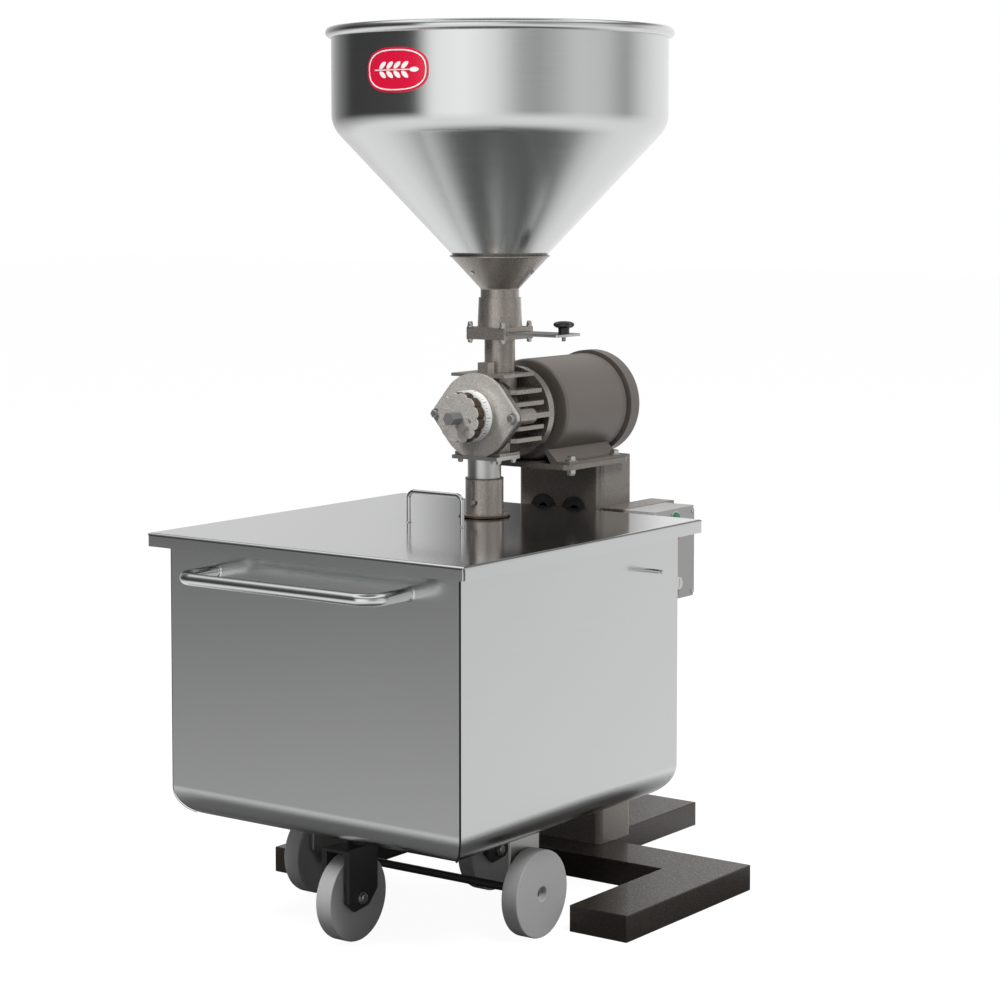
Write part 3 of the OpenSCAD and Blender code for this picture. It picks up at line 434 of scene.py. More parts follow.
MATERIALS = {
    "hammertone": hammertone("hammertone_grey_brown", (0.17, 0.15, 0.132), (0.40, 0.362, 0.33), 0.35,
                             460.0, 0.7),
    # painted shade: a darker brown copy of the hammertone for the post, the switch bracket and the motor
    # plate, for the shadow they stand in
    "stand_hammertone": hammertone("hammertone_brown_painted_shade", (0.085, 0.074, 0.065), (0.26, 0.232, 0.208), 0.4,
                                   420.0, 0.35),
    # painted light: a lighter copy of the hammertone for the front cover and the dial's face, where they
    # catch the light
    "lit_hammertone": hammertone("hammertone_painted_light", (0.17, 0.158, 0.147), (0.74, 0.70, 0.66),
                                   0.37, 400.0, 0.3),
    "dark_hammertone": hammertone("hammertone_dark_brown", (0.010, 0.008, 0.006), (0.056, 0.046, 0.038),
                                  0.42, 420.0, 0.3),
    # dark brown: painted shade on the dial's sides, and darker bands round the sleeve's top lip and flange
    # rim
    "deep_brown": satin("umber_satin_paint", (0.030, 0.019, 0.013), (0.075, 0.05, 0.035), 0.45, 0.2, 600.0),
    "dull_zinc": satin("dull_zinc_plate", (0.15, 0.15, 0.155), (0.26, 0.26, 0.265), 0.5, 0.4, 700.0),
    "motor_paint": satin("motor_satin_paint", (0.125, 0.108, 0.095), (0.185, 0.165, 0.148), 0.42, 0.25,
                         700.0, 0.1),
    "adaptor_dark": satin("adaptor_dark_paint", (0.03, 0.026, 0.022), (0.06, 0.052, 0.045), 0.45),
    "stainless": brushed("stainless_brushed_level", ALONG_LEVEL),
    "stainless_lid": brushed("stainless_brushed_lengthwise", ALONG_X, rough=0.13),
    "stainless_tube": brushed("stainless_tube_polished", (200, 200, 200), rough=0.2),
    "zinc": satin("zinc_plate", (0.42, 0.42, 0.41), (0.66, 0.66, 0.64), 0.33, 1.0, 900.0, 0.1),
    "tool_steel": satin("ground_steel", (0.25, 0.25, 0.26), (0.42, 0.42, 0.43), 0.32, 1.0),
    "rubber_black": satin("black_rubber", 0.012, 0.03, 0.7),
    "black_plastic": satin("black_moulding", 0.008, 0.02, 0.3),
    "polyamide": satin("grey_polyamide", 0.44, 0.56, 0.5, 0, 300.0),
    "winding": satin("varnished_windings", (0.20, 0.08, 0.03), (0.42, 0.20, 0.08), 0.4, 0.4),
    "badge_red": satin("badge_enamel", (0.60, 0.004, 0.035), (0.72, 0.008, 0.05), 0.28, 0, 90.0, 0.03, 0.5),
    "badge_white": satin("badge_white_enamel", (0.82, 0.82, 0.80), (0.9, 0.9, 0.88), 0.3, 0, 90.0, 0.03),
    "switch_grey": satin("switch_powder_coat", (0.36, 0.36, 0.355), (0.44, 0.44, 0.435), 0.45, 0, 800.0),
    "scale_white": satin("scale_enamel", (0.72, 0.72, 0.70), (0.82, 0.82, 0.80), 0.35, 0, 300.0, 0.05),
    "scale_black": satin("scale_engraving", 0.01, 0.025, 0.5),
    "green_plastic": satin("green_button", (0.01, 0.16, 0.05), (0.02, 0.24, 0.08), 0.3),
    "red_plastic": satin("red_button", (0.45, 0.01, 0.008), (0.62, 0.02, 0.015), 0.3),
    "white_plastic": satin("white_moulding", (0.68, 0.68, 0.66), (0.78, 0.78, 0.76), 0.35),
    "undercarriage": satin("black_satin_paint", 0.02, 0.045, 0.38),
    "seam_black": satin("seam_shadow", 0.003, 0.008, 0.8),
}
SLOT_OF = {part["node"]: part["material_slot"] for part in frame["record"]["subparts"]}
BODY_OF = {node: body for body, nodes in frame["record"]["behaviour"]["bodies"].items() for node in nodes}

# ---------------------------------------------------------------- mesh tools

SMOOTH_ANGLE = math.radians(32)
# edges that turn by more than this are rounded
ROUND_ANGLE = math.radians(28)


def finish_piece(name, mesh, body, material, replaces=()):
    """Links a mesh as a piece at the origin, with its finish, body and the CAD nodes that it stands for."""
    piece = bpy.data.objects.new(name, mesh)
    bpy.context.scene.collection.objects.link(piece)
    mesh.materials.clear()
    mesh.materials.append(MATERIALS[material])
    mesh.shade_smooth()
    mesh.set_sharp_from_angle(angle=SMOOTH_ANGLE)
    even = piece.modifiers.new("even_shading", "WEIGHTED_NORMAL")
    even.keep_sharp = True
    graph = bpy.context.evaluated_depsgraph_get()
    baked = bpy.data.meshes.new_from_object(piece.evaluated_get(graph), preserve_all_data_layers=True,
                                            depsgraph=graph)
    piece.modifiers.clear()
    piece.data = baked
    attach(piece, body)
    if replaces:
        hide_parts(*replaces)
    return piece


def to_mesh(name, bm):
    """Merges doubles, points the faces outwards and frees the bmesh."""
    bmesh.ops.remove_doubles(bm, verts=bm.verts, dist=1e-6)
    bmesh.ops.recalc_face_normals(bm, faces=bm.faces)
    mesh = bpy.data.meshes.new(name)
    bm.to_mesh(mesh)
    bm.free()
    return mesh


def softened_copy(node, width):
    """A CAD node's shape with its coplanar triangles joined and its edges rounded."""
    bm = bmesh.new()
    bm.from_mesh(frame["nodes"][node].data)
    bmesh.ops.remove_doubles(bm, verts=bm.verts, dist=2e-6)
    bmesh.ops.dissolve_limit(bm, angle_limit=math.radians(0.6), verts=bm.verts, edges=bm.edges)
    sharp = [e for e in bm.edges if len(e.link_faces) == 2 and e.calc_face_angle(0) > ROUND_ANGLE]
    bmesh.ops.bevel(bm, geom=sharp, offset=width, offset_type="OFFSET", segments=2, profile=0.5,
                    affect="EDGES", clamp_overlap=True)
    mesh = bpy.data.meshes.new(node)
    bm.to_mesh(mesh)
    bm.free()
    return mesh


def soften(points, radii, closed=True, steps=5):
    """A path whose corners are round. radii is one radius or one for each point."""
    count = len(points)
    points = [Vector(p) for p in points]
    radii = [radii] * count if isinstance(radii, (int, float)) else radii
    made = []
    for i, corner in enumerate(points):
        if radii[i] <= 0 or (not closed and i in (0, count - 1)):
            made.append(corner)
            continue
        before, after = points[i - 1] - corner, points[(i + 1) % count] - corner
        angle = before.angle(after)
        if angle > math.radians(179):
            made.append(corner)
            continue
        reach = min(radii[i] / math.tan(angle / 2), before.length * 0.49, after.length * 0.49)
        radius = reach * math.tan(angle / 2)
        inwards = (before.normalized() + after.normalized()).normalized()
        middle = corner + inwards * radius / math.sin(angle / 2)
        start = corner + before.normalized() * reach - middle
        end = corner + after.normalized() * reach - middle
        sweep = start.angle(end)
        for k in range(steps + 1):
            t = k / steps
            if sweep < 1e-6:
                made.append(middle + start)
            else:
                made.append(middle + (start * math.sin((1 - t) * sweep) + end * math.sin(t * sweep))
                            / math.sin(sweep))
    return made


def arc(centre, radius, start, end, steps):
    """Points on an arc, in degrees."""
    return [(centre[0] + radius * math.cos(math.radians(start + (end - start) * i / steps)),
             centre[1] + radius * math.sin(math.radians(start + (end - start) * i / steps)))
            for i in range(steps + 1)]


def lathe(name, profile, centre, axis="Z", segments=96, radius_at=None):
    """A closed turned solid from (radius, height) points. radius_at(angle, radius) scales the radius."""
    bm = bmesh.new()
    rings = []
    for radius, height in profile:
        if radius < 1e-7:
            rings.append([bm.verts.new(on_axis(centre, axis, 0, 0, height))])
            continue
        ring = []
        for i in range(segments):
            angle = 2 * math.pi * i / segments
            r = radius * (radius_at(angle, radius) if radius_at else 1)
            ring.append(bm.verts.new(on_axis(centre, axis, r * math.cos(angle), r * math.sin(angle), height)))
        rings.append(ring)
    for a, b in zip(rings, rings[1:] + rings[:1]):
        if len(a) == 1 and len(b) == 1:
            continue
        for i in range(segments):
            j = (i + 1) % segments
            corners = [a[i % len(a)], a[j % len(a)], b[j % len(b)], b[i % len(b)]]
            bm.faces.new(list(dict.fromkeys(corners)))
    return to_mesh(name, bm)


def on_axis(centre, axis, u, v, height):
    """A point u, v across and height along an axis through centre."""
    x, y, z = centre
    if axis == "Z":
        return (x + u, y + v, z + height)
    if axis == "Y":
        return (x + u, y + height, z + v)
    return (x + height, y + u, z + v)


def tube(name, path, radius, sides):
    """A round bar along a path, with flat ends."""
    bm = bmesh.new()
    path = [Vector(p) for p in path]
    normal = None
    rings = []
    for i, point in enumerate(path):
        ahead = path[min(i + 1, len(path) - 1)] - path[max(i - 1, 0)]
        ahead.normalize()
        if normal is None:
            normal = ahead.orthogonal().normalized()
        normal = (normal - ahead * normal.dot(ahead)).normalized()
        side = ahead.cross(normal)
        rings.append([bm.verts.new(point + radius * (math.cos(2 * math.pi * k / sides) * normal
                                                     + math.sin(2 * math.pi * k / sides) * side))
                      for k in range(sides)])
    for a, b in zip(rings, rings[1:]):
        for k in range(sides):
            bm.faces.new([a[k], a[(k + 1) % sides], b[(k + 1) % sides], b[k]])
    bm.faces.new(rings[0][::-1])
    bm.faces.new(rings[-1])
    return to_mesh(name, bm)


def join_meshes(name, meshes):
    """One mesh from several, left apart."""
    bm = bmesh.new()
    for mesh in meshes:
        bm.from_mesh(mesh)
    joined = bpy.data.meshes.new(name)
    bm.to_mesh(joined)
    bm.free()
    return joined


def middle_of(node):
    low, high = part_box(node)
    return (low + high) / 2


# ---------------------------------------------------------------- geometry node tools


class NodeTree:
    """A geometry node tree with named inputs that ends in Realize Instances and Set Material."""

    def __init__(self, name, inputs):
        self.tree = bpy.data.node_groups.new(name, "GeometryNodeTree")
        self.ids = {}
        self.tree.interface.new_socket("Geometry", in_out="INPUT", socket_type="NodeSocketGeometry")
        kinds = {"float": "NodeSocketFloat", "int": "NodeSocketInt", "vector": "NodeSocketVector",
                 "rotation": "NodeSocketRotation", "material": "NodeSocketMaterial"}
        for label, kind in [*inputs, ("Material", "material")]:
            made = self.tree.interface.new_socket(label, in_out="INPUT", socket_type=kinds[kind])
            self.ids[label] = made.identifier
        self.tree.interface.new_socket("Geometry", in_out="OUTPUT", socket_type="NodeSocketGeometry")
        self.inside = self.tree.nodes.new("NodeGroupInput")
        self.outside = self.tree.nodes.new("NodeGroupOutput")

    def add(self, kind, settings=None, **inputs):
        """A node whose inputs are numbers or sockets. A key's underscores stand for spaces."""
        node = self.tree.nodes.new(kind)
        for key, value in (settings or {}).items():
            setattr(node, key, value)
        for key, value in inputs.items():
            socket = node.inputs[key.replace("_", " ")]
            if isinstance(value, bpy.types.NodeSocket):
                self.tree.links.new(value, socket)
            else:
                socket.default_value = value
        return node

    def value(self, label):
        return self.inside.outputs[label]

    def join(self, *parts):
        node = self.tree.nodes.new("GeometryNodeJoinGeometry")
        for part in parts:
            self.tree.links.new(part, node.inputs[0])
        return node.outputs[0]

    def close(self, instances):
        real = self.add("GeometryNodeRealizeInstances", Geometry=instances)
        painted = self.add("GeometryNodeSetMaterial", Geometry=real.outputs[0],
                           Material=self.value("Material"))
        self.tree.links.new(painted.outputs[0], self.outside.inputs[0])

    def bake(self, name, points, material, **values):
        """A plain mesh from the tree, run on loose points."""
        seed = bpy.data.meshes.new(name + "_points")
        seed.from_pydata([tuple(p) for p in points], [], [])
        carrier = bpy.data.objects.new(name + "_carrier", seed)
        bpy.context.scene.collection.objects.link(carrier)
        modifier = carrier.modifiers.new("nodes", "NODES")
        modifier.node_group = self.tree
        modifier[self.ids["Material"]] = MATERIALS[material]
        for label, value in values.items():
            modifier[self.ids[label.replace("_", " ")]] = value
        view = bpy.context.evaluated_depsgraph_get()
        mesh = bpy.data.meshes.new_from_object(carrier.evaluated_get(view))
        mesh.name = name
        bpy.data.objects.remove(carrier)
        return mesh


# the crown's foot and top, as shares of the head's radius
CROWN_FOOT = 0.86
CROWN_TOP = 0.70
WASHER_HEIGHT = 0.0016


def build_bolt_tree():
    """A hexagon bolt head with a chamfered crown on a round washer, at every point."""
    t = NodeTree("hex_bolts", [("Head Radius", "float"), ("Head Height", "float"), ("Washer Radius", "float"),
                               ("Washer Height", "float"), ("Turn", "rotation"), ("Stud Height", "float")])
    head_radius, head_height, washer_height = map(t.value, ("Head Radius", "Head Height", "Washer Height"))

    def lifted(shape, height):
        place = t.add("ShaderNodeCombineXYZ", Z=height)
        moved = t.add("GeometryNodeTransform", Geometry=shape.outputs[0], Translation=place.outputs[0])
        return moved.outputs[0]

    head = t.add("GeometryNodeMeshCylinder", Vertices=6, Radius=head_radius, Depth=head_height)
    head_middle = math_node(t.tree, "ADD", math_node(t.tree, "MULTIPLY", head_height, 0.5), washer_height)
    crown = t.add("GeometryNodeMeshCone", Vertices=24,
                  Radius_Bottom=math_node(t.tree, "MULTIPLY", head_radius, CROWN_FOOT),
                  Radius_Top=math_node(t.tree, "MULTIPLY", head_radius, CROWN_TOP),
                  Depth=t.value("Stud Height"))
    washer = t.add("GeometryNodeMeshCylinder", Vertices=32, Radius=t.value("Washer Radius"),
                   Depth=washer_height)
    bolt = t.join(lifted(head, head_middle),
                  lifted(crown, math_node(t.tree, "ADD", head_height, washer_height)),
                  lifted(washer, math_node(t.tree, "MULTIPLY", washer_height, 0.5)))
    placed = t.add("GeometryNodeInstanceOnPoints", Points=t.value("Geometry"), Instance=bolt,
                   Rotation=t.value("Turn"))
    t.close(placed.outputs[0])
    return t


def build_ring_tree():
    """Blocks set evenly round a circle about Y, each turned to face outwards."""
    t = NodeTree("blocks_round_a_ring",
                 [("Count", "int"), ("Ring Radius", "float"), ("Block Size", "vector")])
    circle = t.add("GeometryNodeMeshCircle", Vertices=t.value("Count"), Radius=t.value("Ring Radius"))
    centred = t.add("GeometryNodeInputPosition")
    turn = t.add("FunctionNodeAlignRotationToVector", {"axis": "X"}, Vector=centred.outputs[0])
    block = t.add("GeometryNodeMeshCube", Size=t.value("Block Size"))
    blocks = t.add("GeometryNodeInstanceOnPoints", Points=circle.outputs[0], Instance=block.outputs[0],
                   Rotation=turn.outputs[0])
    stood = t.add("GeometryNodeTransform", Geometry=blocks.outputs[0], Rotation=(math.pi / 2, 0, 0))
    rings = t.add("GeometryNodeInstanceOnPoints", Points=t.value("Geometry"), Instance=stood.outputs[0])
    t.close(rings.outputs[0])
    return t


BOLTS = build_bolt_tree()
RING = build_ring_tree()


def bolt_piece(name, points, turn, body, head, height, washer, replaces=(), crown=0.0012):
    """Zinc bolt heads or nuts at points, as one piece. head and washer are radii."""
    mesh = BOLTS.bake(name, points, "zinc", Head_Radius=head, Head_Height=height, Washer_Radius=washer,
                      Washer_Height=WASHER_HEIGHT, Turn=turn, Stud_Height=crown)
    finish_piece(name, mesh, body, "zinc", replaces)


# ---------------------------------------------------------------- CAD nodes that keep their shape

# node: how far its edges are rounded, in metres
SOFT_EDGES = {
    "base_frame": 0.002, "post": 0.0012, "motor_plate": 0.0015, "motor_feet": 0.001,
    "motor_front_shield": 0.001, "motor_rear_shield": 0.001, "motor_barrel": 0.0008,
    "mill_adaptor": 0.001, "mill_housing": 0.0012, "front_cover": 0.0018, "inlet_pipe": 0.0008,
    "gate_frame": 0.0008, "hopper_socket": 0.0008, "gate_plate": 0.0006, "switch_bracket": 0.0012,
    "switch_box": 0.001, "switch_cover": 0.001, "outlet_sleeve": 0.0006, "adjusting_spindle": 0.001,
    "scale_ring": 0.0006, "wheel_brackets": 0.0008, "front_fork": 0.0008, "rear_fork": 0.0008,
    "lock_knob": 0.0008, "start_button": 0.001, "stop_button": 0.001, "wheel_axle": 0.0008,
    "bin_body": 0.0004, "bin_lid": 0.0012,
}
# nodes whose finish isn't the one named after their slot; the front cover's lighter hammertone is painted
# light, and the darker one on the post, switch bracket and motor plate painted shade
OTHER_FINISH = {
    "bin_lid": "stainless_lid", "front_cover": "lit_hammertone", "adjusting_spindle": "dull_zinc",
    "post": "stand_hammertone", "switch_bracket": "stand_hammertone", "motor_plate": "stand_hammertone",
}


def paint_cad_nodes():
    """Gives every CAD node the finish of its slot."""
    for name, node in frame["nodes"].items():
        node.data.materials.clear()
        node.data.materials.append(MATERIALS[SLOT_OF[name]])


def make_softened_parts():
    """Stands a copy with rounded edges in for each node in SOFT_EDGES."""
    for node, width in SOFT_EDGES.items():
        slot = SLOT_OF[node]
        material = OTHER_FINISH.get(node, slot)
        finish_piece(node + "_finished", softened_copy(node, width), BODY_OF[node], material, [node])


paint_cad_nodes()
make_softened_parts()

# ---------------------------------------------------------------- hopper and cup

HOPPER_BEAD = 0.010
HOPPER_SHEET = 0.002
HOPPER_BEND_Z = 1.470
HOPPER_BEND_R = 0.060
CUP_RIM_THICKNESS = 0.006
# the badge's raised line and grain: in from the edge, wide, and between these heights over the wall
BADGE_LINE_INSET = 0.004
BADGE_LINE_WIDTH = 0.0022
BADGE_LINE_FOOT = 0.001
BADGE_LINE_HEIGHT = 0.0005


def make_hopper():
    """The hopper's sheet: cone, soft bend, straight wall and a rolled rim."""
    low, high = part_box("hopper")
    cup_low, cup_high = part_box("hopper_cup")
    centre = middle_of("hopper")
    wall = (high.x - low.x) / 2 - HOPPER_BEAD - 0.001
    rim_z = high.z - HOPPER_BEAD
    cup_r = (cup_high.x - cup_low.x) / 2 - CUP_RIM_THICKNESS
    rise = (wall - cup_r) / (HOPPER_BEND_Z - cup_high.z)
    slope = math.degrees(math.atan(1 / rise))
    bend_z = HOPPER_BEND_Z + HOPPER_BEND_R * math.tan(math.radians((90 - slope) / 2))
    bend = (wall - HOPPER_BEND_R, bend_z)
    foot_r = cup_r + (low.z - cup_high.z) * rise
    outer = [(foot_r, low.z)] + arc(bend, HOPPER_BEND_R, slope - 90, 0, 12)
    rim = arc((wall + 0.001, rim_z), HOPPER_BEAD, -95.7, 252.5, 28)
    inner = arc(bend, HOPPER_BEND_R - HOPPER_SHEET, 0, slope - 90, 12)
    inner.append((foot_r - HOPPER_SHEET / math.sin(math.radians(slope)), low.z))
    mesh = lathe("hopper_sheet", outer + rim + inner, (0, centre.y, 0), "Z", 192)
    finish_piece("hopper_sheet", mesh, "stand", "stainless", ["hopper"])
    return wall, centre.y


def make_cup(axis_y):
    """The cast cup that carries the hopper: a neck, a cone and a turned rim."""
    low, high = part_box("hopper_cup")
    rim = (high.x - low.x) / 2
    neck = 0.037
    bore = 0.031
    cone_foot = 1.162
    profile = [(bore, low.z), (neck, low.z), (neck, cone_foot - 0.002), (neck + 0.001, cone_foot),
               (rim - 0.003, high.z - 0.0035), (rim, high.z - 0.003), (rim, high.z), (rim - 0.0055, high.z),
               (0.0465, 1.179), (bore + 0.002, 1.166)]
    radii = [0.0005, 0.0005, 0.004, 0.004, 0.001, 0.001, 0.0012, 0.0006, 0.0006, 0.002]
    path = [(p.x, p.y) for p in soften([(r, h, 0) for r, h in profile], radii)]
    mesh = lathe("hopper_cup_casting", path, (0, axis_y, 0), "Z", 128)
    finish_piece("hopper_cup_casting", mesh, "stand", "hammertone", ["hopper_cup"])


def wrap(u, v, out, wall, axis_y, middle_z):
    """A point u across and v up on the hopper's wall, and out from it."""
    radius = wall + out
    return (radius * math.sin(u / wall), axis_y - radius * math.cos(u / wall), middle_z + v)


def bent_plate(name, outline, wall, axis_y, middle_z, stand_off, thickness):
    """A flat outline in (across, up) wrapped on the hopper's wall, at its front."""
    bm = bmesh.new()
    bm.faces.new([bm.verts.new((u, v, 0)) for u, v in outline])
    span = max(abs(u) for u, _ in outline)
    steps = 24
    for i in range(1, steps):
        cut = -span + 2 * span * i / steps
        bmesh.ops.bisect_plane(bm, geom=bm.verts[:] + bm.edges[:] + bm.faces[:], plane_co=(cut, 0, 0),
                               plane_no=(1, 0, 0))
    made = bmesh.ops.extrude_face_region(bm, geom=bm.faces[:])
    for item in made["geom"]:
        if isinstance(item, bmesh.types.BMVert):
            item.co.z = thickness
    for vert in bm.verts:
        u, v, out = vert.co
        vert.co = wrap(u, v, stand_off + out, wall, axis_y, middle_z)
    return to_mesh(name, bm)


def oval(half_width, half_height, power=2.6, steps=72):
    """A soft oval outline, between an ellipse and a rectangle."""
    made = []
    for i in range(steps):
        a = 2 * math.pi * i / steps
        c, s = math.cos(a), math.sin(a)
        made.append((half_width * math.copysign(abs(c) ** (2 / power), c),
                     half_height * math.copysign(abs(s) ** (2 / power), s)))
    return made


def kernel(x, y, length, width, turn, steps=14):
    """A pointed grain kernel's outline."""
    made = []
    for i in range(steps):
        a = 2 * math.pi * i / steps
        u = length / 2 * math.cos(a)
        v = width / 2 * math.sin(a) * abs(math.sin(a)) ** 0.3
        made.append((x + u * math.cos(turn) - v * math.sin(turn),
                     y + u * math.sin(turn) + v * math.cos(turn)))
    return made


def make_badge(wall, axis_y):
    """A generic oval enamel badge with a plain white line and an ear of grain."""
    low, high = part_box("hopper_badge")
    middle_z = (low.z + high.z) / 2
    half_w, half_h = 0.070, (high.z - low.z) / 2 - 0.001
    plate = bent_plate("badge_plate", oval(half_w, half_h), wall, axis_y, middle_z, 0.0001, 0.0009)
    finish_piece("badge_plate", plate, "stand", "badge_red", ["hopper_badge"])
    parts = []
    ring_w, ring_h = half_w - BADGE_LINE_INSET, half_h - BADGE_LINE_INSET
    outer, inner = oval(ring_w, ring_h), oval(ring_w - BADGE_LINE_WIDTH, ring_h - BADGE_LINE_WIDTH)
    count = len(outer)
    for i in range(count):
        j = (i + 1) % count
        bm = bmesh.new()
        flat = [outer[i], outer[j], inner[j], inner[i]]
        bottom, top = ([bm.verts.new(wrap(u, v, out, wall, axis_y, middle_z)) for u, v in flat]
                       for out in (BADGE_LINE_FOOT, BADGE_LINE_FOOT + BADGE_LINE_HEIGHT))
        bm.faces.new(bottom[::-1])
        bm.faces.new(top)
        for k in range(4):
            bm.faces.new([bottom[k], bottom[(k + 1) % 4], top[(k + 1) % 4], top[k]])
        parts.append(to_mesh("ring_part", bm))
    raised = (wall, axis_y, middle_z, BADGE_LINE_FOOT, BADGE_LINE_HEIGHT)
    for row in range(4):
        for side in (-1, 1):
            x = -0.030 + row * 0.017
            leaning = kernel(x, side * 0.0085, 0.019, 0.009, side * math.radians(38))
            parts.append(bent_plate("kernel", leaning, *raised))
    parts.append(bent_plate("kernel", kernel(0.041, 0, 0.020, 0.009, 0), *raised))
    stem = [(-0.050, -0.0009), (0.034, -0.0009), (0.034, 0.0009), (-0.050, 0.0009)]
    parts.append(bent_plate("stem", stem, *raised))
    finish_piece("badge_lines", join_meshes("badge_lines", parts), "stand", "badge_white")


hopper_wall, hopper_y = make_hopper()
make_cup(hopper_y)
make_badge(hopper_wall, hopper_y)

# ---------------------------------------------------------------- dial, scale and bolts

SHAFT_Z = middle_of("rotor_shaft").z
FOOT_BOLT_X = 0.102
FOOT_BOLT_FRONT = -0.094
FOOT_BOLT_BACK = 0.057
FOOT_SHEET = 0.005
COVER_TIP_X = 0.090
COVER_FACE_Y = -0.272
GATE_BOLT_X = 0.038
GATE_BOLT_Y = 0.0438
GATE_FLANGE_TOP = 1.088
GATE_FLANGE_DROP = 0.0145
OUTLET_BOLT_X = 0.045
OUTLET_BOLT_YS = (-0.255, -0.207)
OUTLET_PLATE = 0.007


def make_dial():
    """The scalloped dial: a thin face in the lighter hammertone, which is painted light, on a dark brown
    casting, which is painted shade on the dial's sides, with two small screws.
    """
    low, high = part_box("dial_knob")
    outer = 0.048
    depth = high.y - low.y
    grooves = 12

    def lobes(angle, radius):
        if radius < outer * 0.86:
            return 1
        near = abs(math.sin(angle * grooves / 2))
        return 1 - 0.095 * max(0.0, 1 - near * 1.1) ** 1.4

    skin = 0.0018
    face = [(0.0101, 0), (outer - 0.0012, 0), (outer - 0.0003, 0.0005), (outer, 0.0013), (outer, skin),
            (0.0101, skin)]
    body = [(0.0101, skin), (outer, skin), (outer, depth - 0.003), (outer - 0.002, depth), (0.0101, depth)]
    # the face's lighter hammertone is painted light, and the casting's dark brown is painted shade on the
    # dial's sides
    for name, profile, material, replaced in (("dial_face", face, "lit_hammertone", []),
                                              ("dial_casting", body, "deep_brown", ["dial_knob"])):
        mesh = lathe(name, profile, (0, low.y, SHAFT_Z), "Y", 288, lobes)
        finish_piece(name, mesh, "dial", material, replaced)
    screws = []
    for angle, radius in ((math.radians(-8), 0.028), (math.radians(-38), 0.030)):
        screws.append((radius * math.cos(angle), low.y, SHAFT_Z + radius * math.sin(angle)))
    bolt_piece("dial_screws", screws, (math.pi / 2, 0, 0), "dial", 0.0026, 0.0008, 0.0030, crown=0.0004)


def make_scale():
    """Fifty fine ticks and ten long ones, engraved round the scale ring."""
    low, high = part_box("scale_ring")
    radius = (high.x - low.x) / 2
    for name, count, length, width in (("scale_ticks_fine", 50, 0.006, 0.0008),
                                       ("scale_ticks_long", 10, 0.011, 0.0012)):
        mesh = RING.bake(name, [(0, low.y + 0.001 + length / 2, SHAFT_Z)], "scale_black", Count=count,
                         Ring_Radius=radius, Block_Size=(0.0005, width, length))
        finish_piece(name, mesh, "dial", "scale_black")


def make_bolts():
    """Hexagon bolts on washers: the motor's feet, the cover's tips, and the gate's and outlet's flanges."""
    plate_low, plate_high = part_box("motor_plate")
    foot_top = plate_high.z + FOOT_SHEET
    feet = [(s * FOOT_BOLT_X, y, foot_top) for s in (-1, 1) for y in (FOOT_BOLT_FRONT, FOOT_BOLT_BACK)]
    bolt_piece("foot_bolt_heads", feet, (0, 0, 0), "stand", 0.0092, 0.0066, 0.0115, ["machine_bolts"])
    nuts = [(s * FOOT_BOLT_X, FOOT_BOLT_FRONT, plate_low.z) for s in (-1, 1)]
    bolt_piece("foot_bolt_nuts", nuts, (math.pi, 0, 0), "stand", 0.0092, 0.0075, 0.0115, crown=0.004)
    tips = [(s * COVER_TIP_X, COVER_FACE_Y, SHAFT_Z) for s in (-1, 1)]
    bolt_piece("cover_bolt_heads", tips, (math.pi / 2, 0, 0), "stand", 0.0085, 0.0066, 0.0098)
    gate_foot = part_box("hopper_socket")[0].z
    gate = [(x, hopper_y + y) for x in (-GATE_BOLT_X, GATE_BOLT_X) for y in (-GATE_BOLT_Y, GATE_BOLT_Y)]
    bolt_piece("gate_bolt_heads", [(*p, GATE_FLANGE_TOP) for p in gate], (0, 0, 0), "stand", 0.0058, 0.0045,
               0.0060, ["flange_bolts"], 0.0045)
    bolt_piece("gate_bolt_nuts", [(*p, gate_foot - GATE_FLANGE_DROP) for p in gate], (math.pi, 0, 0), "stand",
               0.0052, 0.0040, 0.0060, crown=0.0015)
    low_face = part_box("outlet_tube")[1].z - OUTLET_PLATE
    outlet = [(x, y, low_face) for x in (-OUTLET_BOLT_X, OUTLET_BOLT_X) for y in OUTLET_BOLT_YS]
    bolt_piece("outlet_bolt_heads", outlet, (math.pi, 0, 0), "stand", 0.0055, 0.0045, 0.0065, crown=0.002)


def make_cover_gasket():
    """The dark joint that shows all round between the front cover and the housing."""
    cover = frame["nodes"]["front_cover"].data
    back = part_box("front_cover")[1].y
    around = [(v.co.x, v.co.z - SHAFT_Z) for v in cover.vertices if abs(v.co.y - back) < 0.0002]
    outline = [around[i] for i in convex_hull_2d(around)]
    bm = bmesh.new()
    loops = [[bm.verts.new((x * size, back + y, SHAFT_Z + z * size)) for x, z in outline]
             for size, y in ((1.004, -0.0007), (1.004, 0.0007), (0.98, 0.0007), (0.98, -0.0007))]
    for a, b in zip(loops, loops[1:] + loops[:1]):
        for i in range(len(outline)):
            j = (i + 1) % len(outline)
            bm.faces.new([a[i], a[j], b[j], b[i]])
    finish_piece("cover_gasket", to_mesh("cover_gasket", bm), "stand", "seam_black")


